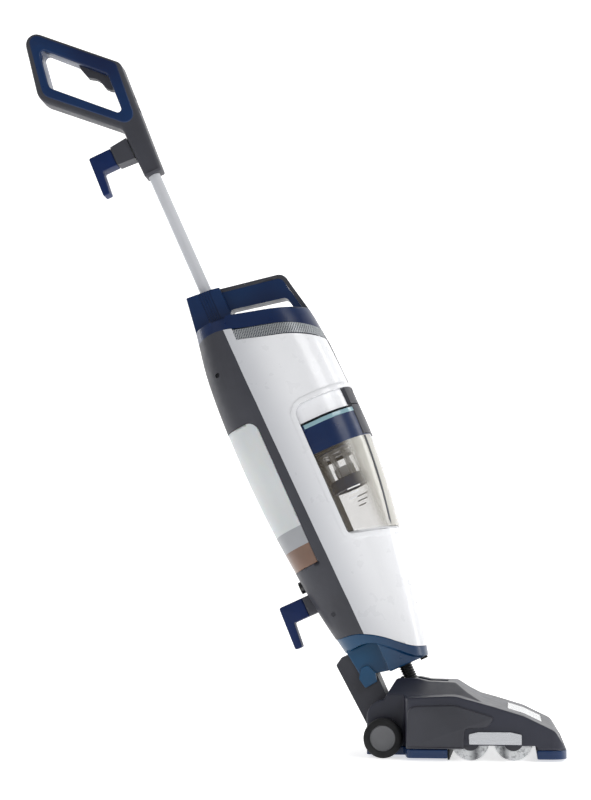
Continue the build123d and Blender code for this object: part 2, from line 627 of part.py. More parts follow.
def trim_outline():
    """Side view of the grey strip over the carrying handle and down the front."""
    points = [(38, 691.5), (133, 672.5), (147, 600), (151.8, 552), (153.6, 480), (153.6, 460), (145, 460),
              (145, 481), (146.0, 548), (141, 598), (128, 667.5), (38, 685.5)]
    return side_face(points, [0.0, 15.0, 60.0, 60.0, 60.0, 0.0, 0.0, 30.0, 60.0, 40.0, 10.0, 0.0])


def front_foot(gap):
    """The strip's wide lower end, which wraps round the front over the tank's latch."""
    ring = body_form() - body_form(TRIM_THICK + gap)
    low = LATCH_TOP + 1.5 - gap
    wide = block(60, FAR, -LATCH_HALF - gap, LATCH_HALF + gap, low, TRIM_FOOT_TOP + gap)
    return ring & wide


def trim_zone(gap):
    """The strip's space across the body, with its joint."""
    strip = slab(offset(trim_outline(), gap), -TRIM_HALF - gap, TRIM_HALF + gap)
    outside = side_slab([(153, 455), (153, 480), (151, 552), (FAR, 552), (FAR, 455)], -TRIM_HALF - gap,
                        TRIM_HALF + gap)
    return strip + outside + front_foot(gap)


def front_trim():
    """Grey strip along the carrying handle and down the front to the tank's latch."""
    return slab(trim_outline(), -TRIM_HALF, TRIM_HALF) + front_foot(0.0)


def tank_bay():
    """White inner housing of the dirty tank: rear wall, ceiling, recessed cheeks, floor and motor cradle."""
    inside = body_form(BODY_WALL + SEAM)
    cheek_form = body_form(BODY_WALL + 1.5)
    rear = inside & block(DIRTY_REAR - 4, DIRTY_REAR - 1, -FAR, FAR, 250, BAY_ROOF)
    roof = cheek_form & block(DIRTY_REAR - 4, FAR, -FAR, FAR, BAY_ROOF - 3, BAY_ROOF)
    cheek = cheek_form - body_form(BODY_WALL + 4)
    cheek &= block(DIRTY_REAR - 4, FAR, -FAR, FAR, BAY_SHELF, BAY_ROOF)
    (x_front, z_front), (x_rear, z_rear) = TANK_LOW
    floor = inside & side_slab([(x_front, z_front - 1), (x_rear - 4, z_rear + 0.5), (x_rear - 4, z_rear - 2.5),
                                (x_front, z_front - 4)], -FAR, FAR)
    cradle = rod_z(FAN_MOTOR_X, 0, FAN_MOTOR_R + 3, BAY_ROOF, FAN_MOTOR_LOW + 8)
    cradle -= rod_z(FAN_MOTOR_X, 0, FAN_MOTOR_R, FAN_MOTOR_LOW, FAN_MOTOR_LOW + 9)
    bay = rear + (roof + cheek - trim_zone(SEAM)) + floor + cradle
    return bay - rod_z(FAN_MOTOR_X, 0, FAN_MOTOR_R - 4, BAY_SHELF, FAN_MOTOR_LOW + 1)


def top_cap(form, wall):
    """Blue cap: hollow shoulder, carrying handle, and the collar that holds the pole."""
    outline = slab(side_face(CAP_OUTLINE, CAP_RADII), -FAR, FAR)
    above = block(-FAR, FAR, -FAR, FAR, 540, 800) - under_curve(CAP_SEAM)
    deck = side_slab(DECK_LINE + [(170, 500), (-60, 500)], -FAR, FAR)
    hollow = side_slab([(x, z - BODY_WALL) for x, z in DECK_LINE] + [(170, 500), (-60, 500)], -FAR, FAR)
    shoulder = (form & outline & above & deck) - (body_form(BODY_WALL) & hollow)
    grip = form & outline & above & block(20, FAR, -TRIM_HALF, TRIM_HALF, 600, 800)
    grip -= slab(side_face(CARRY_SLOT, [3.0, 5.0, 8.0, 3.0]), -FAR, FAR)
    grip -= hollow
    grip -= side_slab([(44, 700), (44, 665), (122, 648), (129, 668), (129, 700)], -TRIM_HALF + 4, TRIM_HALF - 4)
    collar = form & outline & above & block(-FAR, 38, -POLE_COLLAR_HALF, POLE_COLLAR_HALF, 600, 800)
    collar -= body_form(BODY_WALL) & block(-FAR, 34, -POLE_COLLAR_HALF + 4, POLE_COLLAR_HALF - 4, 500, 688)
    for rib in range(5):
        x = 5 + rib * 4.0
        for side in (-1, 1):
            collar -= block(x, x + 1.6, *sorted((side * (POLE_COLLAR_HALF - 1.2), side * FAR)), 648, 800)
    cap = shoulder + grip + collar
    cap -= trim_zone(SEAM)
    cap += rod_z(POLE_X, 0, POLE_R + 3, POLE_LOW - 3, 690)
    return cap - rod_z(POLE_X, 0, POLE_R + PIVOT_PLAY, POLE_LOW, 800)


# ------------------------------------------------------------------ body fittings
LOWER_HOOK_X = -36.0
LOWER_HOOK_Z = 210.0
HOOK_PIN_R = 4.0
HOOK_REACH = 37.0
HOOK_DROP = 36.0
HOOK_ARM_HEIGHT = 28.0
HOOK_LEG = 11.0
SPINE_SCREWS = ((-13.0, 564.0), (0.0, 182.0))
GLAND_X = -22.0
GLAND_Z = 238.0
GLAND_R = 9.0
GLAND_BORE_R = 4.0
PUMP_X = 60.0
PUMP_Y = 26.5
PUMP_R = 10.5
UPPER_HOOK_X = POLE_X - 43.5
UPPER_HOOK_Z = HANDLE_Z + 52.0


def hook(x, z):
    """Blue cord hook on a swivelling pin: the arm points back and the leg down."""
    half_height = HOOK_ARM_HEIGHT / 2
    outline = [(x - RUN, z - half_height), (x - RUN, z + half_height), (x - HOOK_REACH, z + half_height),
               (x - HOOK_REACH - 2, z - half_height - HOOK_DROP),
               (x - HOOK_REACH + HOOK_LEG - 2, z - half_height - HOOK_DROP),
               (x - HOOK_REACH + HOOK_LEG + 1, z - half_height)]
    arm = side_slab(outline, -HOOK_HALF, HOOK_HALF, [2.0, 2.0, 3.0, 1.5, 1.5, 2.0])
    return arm + rod_x(x - 2, x + 6, z, HOOK_PIN_R)


def upper_hook_base():
    """Grey bracket on the handle's stem that carries the upper hook."""
    stem = POLE_X - 14.5
    half_height = HOOK_ARM_HEIGHT / 2 + 1
    base = side_slab([(UPPER_HOOK_X, UPPER_HOOK_Z - half_height), (UPPER_HOOK_X, UPPER_HOOK_Z + half_height),
                      (stem - 0.4, UPPER_HOOK_Z + half_height + 3), (stem - 0.4, UPPER_HOOK_Z - half_height - 2)],
                     -HOOK_HALF - 1, HOOK_HALF + 1, [2.0, 2.0, 0.0, 0.0])
    return base - rod_x(UPPER_HOOK_X - 1, UPPER_HOOK_X + 7, UPPER_HOOK_Z, HOOK_PIN_R + PIVOT_PLAY)


def spine_screws():
    """Four screws that close the spine onto the shells, seated in its holes."""
    screws = []
    for x, z in SPINE_SCREWS:
        for side in (-1, 1):
            head = Pos(x, side * 51, z) * Rot(90, 0, 0) * Cylinder(3.4, 3)
            shank = Pos(x, side * 44, z) * Rot(90, 0, 0) * Cylinder(1.6, 12)
            recess = Pos(x, side * 52.4, z) * Rot(90, 0, 0) * Box(3.4, 0.8, 1.5)
            screws.append(head + shank - recess)
    return screws


def cord_gland():
    """Bush in the spine that the mains lead would enter by."""
    flange = rod_x(-34, -20, GLAND_Z, GLAND_R)
    return flange - rod_x(-40, -10, GLAND_Z, GLAND_BORE_R)


def suction_motor():
    """Suction motor's can with air inlet, open to the fan under it."""
    can = rod_z(FAN_MOTOR_X, 0, FAN_MOTOR_R, FAN_MOTOR_LOW, FAN_MOTOR_LOW + FAN_MOTOR_HEIGHT)
    can -= rod_z(FAN_MOTOR_X, 0, FAN_MOTOR_R - 3, FAN_MOTOR_LOW + 3, FAN_MOTOR_LOW + FAN_MOTOR_HEIGHT - 4)
    can -= rod_z(FAN_MOTOR_X, 0, 12, FAN_MOTOR_LOW - 1, FAN_MOTOR_LOW + 4)
    return can - rod_z(FAN_MOTOR_X, 0, 3 + PIVOT_PLAY, FAN_MOTOR_LOW, FAN_MOTOR_LOW + FAN_MOTOR_HEIGHT + 1)


def fan():
    """Impeller, rotor and shaft of the suction motor."""
    wheel = rod_z(FAN_MOTOR_X, 0, FAN_R, FAN_MOTOR_LOW + 6, FAN_MOTOR_LOW + 8)
    hub_piece = rod_z(FAN_MOTOR_X, 0, 9, FAN_MOTOR_LOW + 6, FAN_MOTOR_LOW + 18)
    wheel += hub_piece
    for index in range(8):
        blade = Pos(FAN_R / 2 + 3, 0, FAN_MOTOR_LOW + 12) * Rot(0, 0, 25) * Box(FAN_R - 12, 1.6, 9)
        wheel += Pos(FAN_MOTOR_X, 0, 0) * Rot(0, 0, index * 45) * blade
    wheel += rod_z(FAN_MOTOR_X, 0, 15, FAN_MOTOR_LOW + 24, FAN_MOTOR_LOW + 54)
    return wheel + rod_z(FAN_MOTOR_X, 0, 3, FAN_MOTOR_LOW + 8, FAN_MOTOR_LOW + FAN_MOTOR_HEIGHT - 0.5)


def pump():
    """Water pump on the collar's floor: coil body, head and outlet."""
    floor = CHIN_LOW + BODY_WALL
    body = rod_z(PUMP_X, PUMP_Y, PUMP_R, floor, floor + 36)
    head = block(PUMP_X - 9, PUMP_X + 9, PUMP_Y - 8, PUMP_Y + 8, floor + 36, floor + 48)
    return body + head + rod_z(PUMP_X, PUMP_Y, 4, floor + 48, floor + 58)


# ------------------------------------------------------------------ tanks
def clean_space(form_inset, inset):
    """The clean tank's form in the back of the body, or its inside."""
    return body_form(form_inset) & clean_bay(inset)


def clean_pieces():
    """Frosted tank, its band and its amber cap, cut from one vessel."""
    vessel = clean_space(0.3, 0) - clean_space(0.3 + TANK_WALL, TANK_WALL)
    tank = vessel & block(-FAR, FAR, -FAR, FAR, CLEAN_BAND_TOP, FAR * 2)
    band = vessel & block(-FAR, FAR, -FAR, FAR, CLEAN_CAP_TOP, CLEAN_BAND_TOP)
    cap = vessel & block(-FAR, FAR, -FAR, FAR, 0, CLEAN_CAP_TOP)
    return tank, band, cap


def tank_space(inset, top):
    """The dirty tank's form up to a height: inside the shells, and nearly flush in their window."""
    (x_front, z_front), (x_rear, z_rear) = TANK_LOW
    face = side_face([(x_front, z_front + inset), (x_front, top), (x_rear + inset, top),
                      (x_rear + inset, z_rear + inset)])
    form = body_form(BODY_WALL + RUN + inset) + (body_form(1.0 + inset) & slab(window_face(-RUN - inset), -FAR, FAR))
    return form & slab(face, -FAR, FAR)


def tank_cup():
    """Smoky clear cup of the dirty tank."""
    return tank_space(0.0, DIRTY_LID_LOW) - tank_space(TANK_WALL, DIRTY_LID_LOW + 1)


def tank_lid():
    """Blue lid: skirt, top plate, and the neck over the cage with the suction port through it."""
    upper = block(0, FAR, -FAR, FAR, DIRTY_LID_LOW, FAR * 2)
    lid = tank_space(0.0, DIRTY_LID_TOP) & upper
    lid -= tank_space(TANK_WALL, DIRTY_LID_TOP - 3)
    lid += rod_z(CAGE_X, 0, FLOAT_R + 3, DIRTY_LID_LOW, DIRTY_LID_TOP)
    lid += rod_z(CAGE_X, 0, CAGE_R + 2, DIRTY_LID_LOW, DIRTY_LID_LOW + 3)
    lid -= rod_z(CAGE_X, 0, FLOAT_R + 0.8, 0, FAR * 2)
    return lid - latch_space(RUN, LATCH_TRAVEL)


def tank_seal():
    """Rubber ring between the lid and the cup."""
    low = DIRTY_LID_LOW - 4
    ring = tank_space(TANK_WALL + 0.2, DIRTY_LID_LOW) - tank_space(TANK_WALL + 3.0, DIRTY_LID_LOW + 1)
    return ring & block(0, FAR, -FAR, FAR, low, DIRTY_LID_LOW)


def filter_cage():
    """Ring of columns that hangs from the lid and guides the float."""
    cage = rod_z(CAGE_X, 0, CAGE_R, DIRTY_LID_LOW - 4, DIRTY_LID_LOW)
    cage -= rod_z(CAGE_X, 0, FLOAT_R + 2, DIRTY_LID_LOW - 5, DIRTY_LID_LOW + 1)
    for index in range(CAGE_COLUMNS):
        angle = math.radians(index * 360 / CAGE_COLUMNS + 22.5)
        reach = CAGE_R - CAGE_COLUMN_R - 1
        cage += rod_z(CAGE_X + reach * math.cos(angle), reach * math.sin(angle), CAGE_COLUMN_R, CAGE_LOW,
                      DIRTY_LID_LOW - 2)
    return cage


def cage_base():
    """Blue separator disc that closes the cage."""
    disc = rod_z(CAGE_X, 0, CAGE_R, CAGE_LOW - CAGE_BASE_THICK, CAGE_LOW)
    disc = fillet(disc.edges(), 2.5)
    return disc - rod_z(CAGE_X, 0, CAGE_R - 6, CAGE_LOW - CAGE_BASE_THICK - 1, CAGE_LOW - 5)


def float_cup():
    """Float that rises in the cage and shuts the air port when the tank is full."""
    cup = rod_z(CAGE_X, 0, FLOAT_R, CAGE_LOW + 0.3, CAGE_LOW + 0.3 + FLOAT_HEIGHT)
    return cup - rod_z(CAGE_X, 0, FLOAT_R - 2, CAGE_LOW - 1, CAGE_LOW + FLOAT_HEIGHT - 2)


def latch_space(gap, travel):
    """Room for the tank's latch round the front of the lid."""
    front = body_form(-1.0) - Pos(-travel, 0, 0) * body_form(LATCH_THICK + gap)
    return front & block(LATCH_REAR, FAR, -LATCH_HALF - gap, LATCH_HALF + gap, LATCH_LOW - RUN,
                         DIRTY_LID_TOP + 9)


def tank_latch():
    """Grey button round the front of the dirty tank that frees it."""
    ring = body_form() - body_form(LATCH_THICK)
    return ring & block(LATCH_REAR, FAR, -LATCH_HALF, LATCH_HALF, LATCH_LOW, LATCH_TOP)


# ------------------------------------------------------------------ pole and handle
HANDLE_OUTLINE = [(-94.5, 304), (24, 183), (15.5, 0), (-12.5, 0), (-14.5, 84), (-115, 184)]
HANDLE_RADII = [16.0, 14.0, 3.0, 3.0, 14.0, 30.0]
GRIP_HOLE = [(-82.5, 261), (-1, 173), (-3.5, 104), (-91.5, 195)]
GRIP_RADII = [6.0, 10.0, 5.0, 12.0]
INSERT_OUTLINE = [(-89.5, 283), (17.3, 173), (10.5, 72), (-99.0, 185)]
INSERT_RADII = [8.0, 8.0, 14.0, 6.0]
TRIGGER = [(-37, 206), (-31.5, 187), (-21.5, 180), (-16.5, 173), (-13.5, 160), (-8.5, 154), (-2.5, 150),
           (5, 150), (6, 168), (-4, 184), (-22, 206), (-26, 221), (-36, 221)]
TRIGGER_SLOT = [(-41, 206), (-34, 182), (-20, 168), (-14, 150), (-2.5, 147), (12, 147), (14, 172), (0, 190),
                (-15, 208), (-20, 226), (-40, 226)]
TRIGGER_PIN_R = 2.5
SWITCH_LOW = 103.0
SWITCH_HIGH = 127.5
SWITCH_PIVOT = (16.0, 115.0)
SWITCH_HALF = 6.2
SWITCH_PIN_R = 1.5


def at_handle(shape):
    """Moves a piece drawn from the stem's lower end to the top of the pole."""
    return Pos(POLE_X, 0, HANDLE_Z) * shape


def handle_shell(side):
    """Grey half of the handle: hollow, with recesses for the inserts, trigger, switch and pole."""
    outer = side_face(HANDLE_OUTLINE, HANDLE_RADII)
    hole = side_face(GRIP_HOLE, GRIP_RADII)
    lined = offset(hole, LINING)
    insert = offset(side_face(INSERT_OUTLINE, INSERT_RADII), SEAM)
    shell = slab(outer, 0, HANDLE_HALF) - slab(lined, -1, FAR)
    shell -= slab(insert, HANDLE_HALF - INSERT_THICK - SEAM, FAR)
    cavity = slab(offset(outer, -HANDLE_WALL), -1, HANDLE_HALF - INSERT_THICK - HANDLE_WALL)
    cavity -= slab(offset(lined, HANDLE_WALL), -FAR, FAR)
    cavity -= block(-FAR, FAR, -FAR, FAR, -10, POLE_ENTRY + HANDLE_WALL)
    shell -= cavity
    shell -= side_slab(TRIGGER_SLOT, -1, TRIGGER_HALF + RUN)
    shell -= block(12, 40, -1, SWITCH_HALF + RUN, SWITCH_LOW - 2, SWITCH_HIGH + 2)
    pivot_x, pivot_z = TRIGGER_PIVOT
    boss = rod_y(pivot_x, pivot_z, 5, TRIGGER_HALF + 1, HANDLE_HALF - 3)
    shell += boss - slab(lined, -1, FAR)
    shell -= rod_y(pivot_x, pivot_z, TRIGGER_PIN_R + PIVOT_PLAY, 0, 12.3)
    switch_x, switch_z = SWITCH_PIVOT
    shell += block(switch_x - 3, switch_x + 3, SWITCH_HALF + 1, 14, switch_z - 3, switch_z + 3)
    shell -= rod_y(switch_x, switch_z, SWITCH_PIN_R + PIVOT_PLAY, 0, 10)
    shell -= rod_z(0, 0, POLE_R + PIVOT_PLAY, -5, POLE_ENTRY + 1)
    if side < 0:
        shell = mirror(shell, about=Plane.XZ)
    return at_handle(shell)


def handle_insert():
    """Blue grip faces joined through the loop by a lining."""
    hole = side_face(GRIP_HOLE, GRIP_RADII)
    face = side_face(INSERT_OUTLINE, INSERT_RADII)
    lining = slab(offset(hole, LINING - SEAM), -HANDLE_HALF, HANDLE_HALF)
    plates = slab(face, -HANDLE_HALF, -HANDLE_HALF + INSERT_THICK) + slab(face, HANDLE_HALF - INSERT_THICK, HANDLE_HALF)
    insert = lining + plates - slab(hole, -FAR, FAR)
    return at_handle(insert - side_slab(TRIGGER_SLOT, -TRIGGER_HALF - RUN, TRIGGER_HALF + RUN))


def trigger():
    """Two-finger trigger on its own pins."""
    lever = side_slab(TRIGGER, -TRIGGER_HALF, TRIGGER_HALF)
    return at_handle(lever + rod_y(*TRIGGER_PIVOT, TRIGGER_PIN_R, -12, 12))


def trigger_spring():
    """Spring between the trigger and the handle's front wall."""
    coil = rod_x(5.3, 19.6, 173, 3.2)
    return at_handle(coil - rod_x(0, 30, 173, 2.2))


def trigger_switch():
    """Switch that the trigger presses."""
    body = block(11, 19.3, -5, 5, 150, 165)
    return at_handle(body + rod_x(9.8, 12, 158, 1.5))


def power_switch():
    """Rocker in the front of the stem."""
    rocker = side_slab([(21.2, SWITCH_LOW), (21.0, 115), (22.4, SWITCH_HIGH), (15, SWITCH_HIGH - 2),
                        (13.5, 115), (15, SWITCH_LOW + 2)], -SWITCH_HALF, SWITCH_HALF)
    return at_handle(rocker + rod_y(*SWITCH_PIVOT, SWITCH_PIN_R, -9.6, 9.6))


def pole():
    """Steel tube between the cap and the handle."""
    tube = rod_z(POLE_X, 0, POLE_R, POLE_LOW, HANDLE_Z + POLE_ENTRY)
    return tube - rod_z(POLE_X, 0, POLE_R - POLE_WALL, POLE_LOW - 1, HANDLE_Z + POLE_ENTRY + 1)


# ------------------------------------------------------------------ writing
def write_foot():
    """Writes everything that stays with the foot, the rolls and the wheels."""
    write("foot_base", foot_base(), upright=False)
    write("foot_cover", foot_cover(), upright=False)
    write("brush_window", brush_window(), upright=False)
    write("side_cover_right", side_panel(-1), upright=False)
    write("side_cover_left", side_panel(1), upright=False)
    write("chassis_plate", chassis_plate(), upright=False)
    write("suction_duct", suction_duct(), upright=False)
    write("squeegee", squeegee(), upright=False)
    write("brush_motor", brush_motor(), upright=False)
    write("motor_pulley", motor_pulley(), upright=False)
    write("drive_belt", belt(BRUSH_MOTOR_X, BRUSH_MOTOR_Z, MOTOR_PULLEY_R, REAR_ROLL_X, ROLL_R, PULLEY_R,
                             DRIVE_BELT_Y), upright=False)
    write("transfer_belt", belt(REAR_ROLL_X, ROLL_R, PULLEY_R, FRONT_ROLL_X, ROLL_R, PULLEY_R,
                                TRANSFER_BELT_Y), upright=False)
    write("rear_roll_core", roll_core(REAR_ROLL_X, (DRIVE_BELT_Y, TRANSFER_BELT_Y)), upright=False)
    write("rear_roll_tufts", roll_tufts(REAR_ROLL_X), upright=False)
    write("front_roll_core", roll_core(FRONT_ROLL_X, (TRANSFER_BELT_Y,)), upright=False)
    write("front_roll_tufts", roll_tufts(FRONT_ROLL_X), upright=False)
    write("wheel_axle", wheel_axle(), upright=False)
    for side, name in ((-1, "right"), (1, "left")):
        write(f"{name}_tyre", tyre(side), upright=False)
        write(f"{name}_hub", hub(side), upright=False)
    write("brush_latch", brush_latch(), upright=False)
    write("hose", hose(), upright=False)


def write_upright():
    """Writes everything that leans with the handle."""
    form = body_form()
    wall = form - body_form(BODY_WALL)
    lip_wall = body_form(-LIP_PROUD) - body_form(BODY_WALL)
    write("neck_arm", neck_arm())
    write("base_collar", base_collar())
    write("recline_latch", recline_latch())
    write("collar_bumper", collar_bumper())
    write("spine_shell", spine_shell(form, wall))
    write("side_shell_right", side_shell(-1, wall, lip_wall))
    write("side_shell_left", side_shell(1, wall, lip_wall))
    write("front_trim", front_trim())
    write("tank_bay", tank_bay())
    write("vent_grille", vent_grille(wall))
    write("top_cap", top_cap(form, wall))
    write("suction_motor", suction_motor())
    write("fan", fan())
    write("pump", pump())
    write("cord_gland", cord_gland())
    write("spine_screws", Compound(spine_screws()))
    write("upper_hook_base", upper_hook_base())
    write("upper_hook", hook(UPPER_HOOK_X, UPPER_HOOK_Z))
    write("lower_hook", hook(LOWER_HOOK_X, LOWER_HOOK_Z))
    write("pole", pole())
    write("handle_shell_right", handle_shell(-1))
    write("handle_shell_left", handle_shell(1))
    write("handle_insert", handle_insert())
    write("trigger", trigger())
    write("trigger_spring", trigger_spring())
    write("trigger_switch", trigger_switch())
    write("power_switch", power_switch())


def write_tanks():
    """Writes both tanks."""
    tank, band, cap = clean_pieces()
    write("clean_tank", tank)
    write("clean_tank_band", band)
    write("clean_tank_cap", cap)
    write("tank_cup", tank_cup())
    write("tank_lid", tank_lid())
    write("tank_seal", tank_seal())
    write("filter_cage", filter_cage())
    write("cage_base", cage_base())
    write("float_cup", float_cup())
    write("tank_latch", tank_latch())


write_foot()
write_upright()
write_tanks()
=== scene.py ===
"""Looks of the upright wet and dry floor washer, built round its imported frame.

Lengths inside this script are millimetres, drawn in two frames: the body frame stands straight on the
wheel axle with x forward and z up along the body, and the foot frame has x forward from the axle and z up
from the floor.  IN_BODY and IN_FOOT bring them into the row frame in metres.
"""

import json
import math
import random

import bmesh
import bpy
import numpy as np
from mathutils import Matrix, Vector


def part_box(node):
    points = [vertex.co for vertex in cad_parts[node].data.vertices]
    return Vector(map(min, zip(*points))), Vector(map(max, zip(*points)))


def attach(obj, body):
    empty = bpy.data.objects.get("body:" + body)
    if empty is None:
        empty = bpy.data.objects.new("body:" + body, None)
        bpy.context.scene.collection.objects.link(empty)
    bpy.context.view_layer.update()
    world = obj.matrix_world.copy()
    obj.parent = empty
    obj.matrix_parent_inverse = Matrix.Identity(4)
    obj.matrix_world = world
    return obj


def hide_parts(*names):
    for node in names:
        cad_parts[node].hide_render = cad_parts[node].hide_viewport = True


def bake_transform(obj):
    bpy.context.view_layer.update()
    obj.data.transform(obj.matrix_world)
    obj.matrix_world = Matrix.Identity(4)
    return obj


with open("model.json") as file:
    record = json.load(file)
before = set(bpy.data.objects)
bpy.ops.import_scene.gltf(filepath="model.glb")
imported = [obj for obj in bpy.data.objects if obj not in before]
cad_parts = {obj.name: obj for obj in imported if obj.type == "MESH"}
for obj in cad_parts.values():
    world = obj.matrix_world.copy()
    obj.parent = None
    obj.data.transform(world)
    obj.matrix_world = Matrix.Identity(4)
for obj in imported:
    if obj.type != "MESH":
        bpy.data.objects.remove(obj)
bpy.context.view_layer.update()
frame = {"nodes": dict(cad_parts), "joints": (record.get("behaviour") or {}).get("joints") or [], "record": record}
NODES = frame["nodes"]
JOINTS = {joint["name"]: joint for joint in frame["joints"]}

MM = 0.001
LEAN = math.radians(24)
AXLE = Vector(JOINTS["recline"]["pos_m"])
SCALE = Matrix.Scale(MM, 4)
IN_BODY = Matrix.Translation(AXLE) @ Matrix.Rotation(-LEAN, 4, "Y") @ SCALE
IN_FOOT = Matrix.Translation((AXLE.x, 0, 0)) @ SCALE
POLE_X = 15.5             # pole ahead of the axle, in the body frame
HANDLE_Z = 899.0          # lower end of the handle, in the body frame
IN_HANDLE = IN_BODY @ Matrix.Translation((POLE_X, 0, HANDLE_Z))

# the body's outer form: height, rear, front, width
STATIONS = (
    (66.0, 6.0, 93.0, 92.0),
    (120.0, -9.0, 107.0, 112.0),
    (190.0, -22.0, 123.0, 126.0),
    (260.0, -30.0, 136.0, 138.0),
    (330.0, -36.0, 147.0, 146.0),
    (410.0, -39.0, 153.5, 150.0),
    (500.0, -38.0, 153.0, 150.0),
    (575.0, -33.0, 150.0, 144.0),
    (645.0, -22.0, 143.5, 132.0),
    (710.0, -14.0, 136.0, 120.0),
)
CORNER = 57.0             # corner radius of the body's section


# ------------------------------------------------------------------ camera, floor and light, in metres
SENSOR_HEIGHT = 36.0
LENS = 72.92
CAMERA_PLACE = (0.331, -2.350, 0.190)
CAMERA_RISE = 97.607      # degrees from looking straight down
CAMERA_TURN = 7.539       # degrees towards the handle
SWEEP_HALF = 6.0          # half width of the paper sweep
SWEEP_NEAR = -8.0
SWEEP_BACK = 3.2
SWEEP_BEND = 1.2
SWEEP_TALL = 6.0
# each lamp's name, place, target, width and height, and power
LAMPS = (
    ("key", (2.1, -2.1, 2.2), (0.0, 0.0, 0.45), (1.5, 1.5), 30),
    ("fill", (-2.2, -2.0, 1.2), (0.0, 0.0, 0.5), (1.6, 2.2), 2.5),
    ("front_strip", (2.0, 0.4, 1.0), (0.1, 0.0, 0.5), (0.5, 2.2), 16),
    ("rear_strip", (-1.8, 1.0, 1.3), (-0.1, 0.0, 0.6), (0.5, 2.2), 8),
)
SKY_LIGHT = 0.30


def add_camera():
    """Low beside the machine's right side, turned a little towards the handle and tilted up."""
    data = bpy.data.cameras.new("camera")
    data.sensor_fit = "VERTICAL"
    data.sensor_height = SENSOR_HEIGHT
    data.lens = LENS
    data.clip_end = 50
    camera = bpy.data.objects.new("camera", data)
    bpy.context.scene.collection.objects.link(camera)
    camera.location = CAMERA_PLACE
    camera.rotation_euler = (math.radians(CAMERA_RISE), 0, math.radians(CAMERA_TURN))
    bpy.context.scene.camera = camera


def add_light(name, place, target, size, power):
    """A soft lamp aimed at a point."""
    data = bpy.data.lights.new(name, "AREA")
    data.shape = "RECTANGLE"
    data.size, data.size_y = size
    data.energy = power
    lamp = bpy.data.objects.new(name, data)
    bpy.context.scene.collection.objects.link(lamp)
    lamp.location = place
    lamp.rotation_euler = (Vector(target) - Vector(place)).to_track_quat("-Z", "Y").to_euler()


def add_sweep():
    """White paper under the machine, bent up behind it."""
    steps = 10
    flat_end = SWEEP_BACK - SWEEP_BEND
    rows = [(SWEEP_NEAR, 0.0), (flat_end, 0.0)]
    for step in range(1, steps + 1):
        angle = math.pi / 2 * step / steps
        rows.append((flat_end + SWEEP_BEND * math.sin(angle), SWEEP_BEND - SWEEP_BEND * math.cos(angle)))
    rows.append((SWEEP_BACK, SWEEP_TALL))
    mesh = bpy.data.meshes.new("sweep")
    verts = [(x, y, z) for y, z in rows for x in (-SWEEP_HALF, SWEEP_HALF)]
    mesh.from_pydata(verts, [], [(2 * i, 2 * i + 1, 2 * i + 3, 2 * i + 2) for i in range(len(rows) - 1)])
    sweep = bpy.data.objects.new("sweep", mesh)
    bpy.context.scene.collection.objects.link(sweep)
    for polygon in mesh.polygons:
        polygon.use_smooth = True
    mesh.materials.append(paper())


def add_studio():
    """The sweep, a key, a fill and two edge strips, and a pale sky."""
    add_sweep()
    for lamp in LAMPS:
        add_light(*lamp)
    world = bpy.data.worlds.new("studio")
    bpy.context.scene.world = world
    world.use_nodes = True
    background = world.node_tree.nodes["Background"]
    background.inputs["Color"].default_value = (1.0, 1.0, 1.0, 1.0)
    background.inputs["Strength"].default_value = SKY_LIGHT
    bpy.context.scene.view_settings.view_transform = "Standard"


# ------------------------------------------------------------------ materials
PILE_SPAN = (88.0, 206.0)     # where the rolls' bands of colour start and end, ahead of the axle
MIX_A, MIX_B, MIX_OUT = 6, 7, 2     # the colour sockets of a mix node


def linear(colour):
    """Screen colour, 0 to 255, as light."""
    return tuple(((c / 255 + 0.055) / 1.055) ** 2.4 if c > 10 else c / 255 / 12.92 for c in colour) + (1.0,)


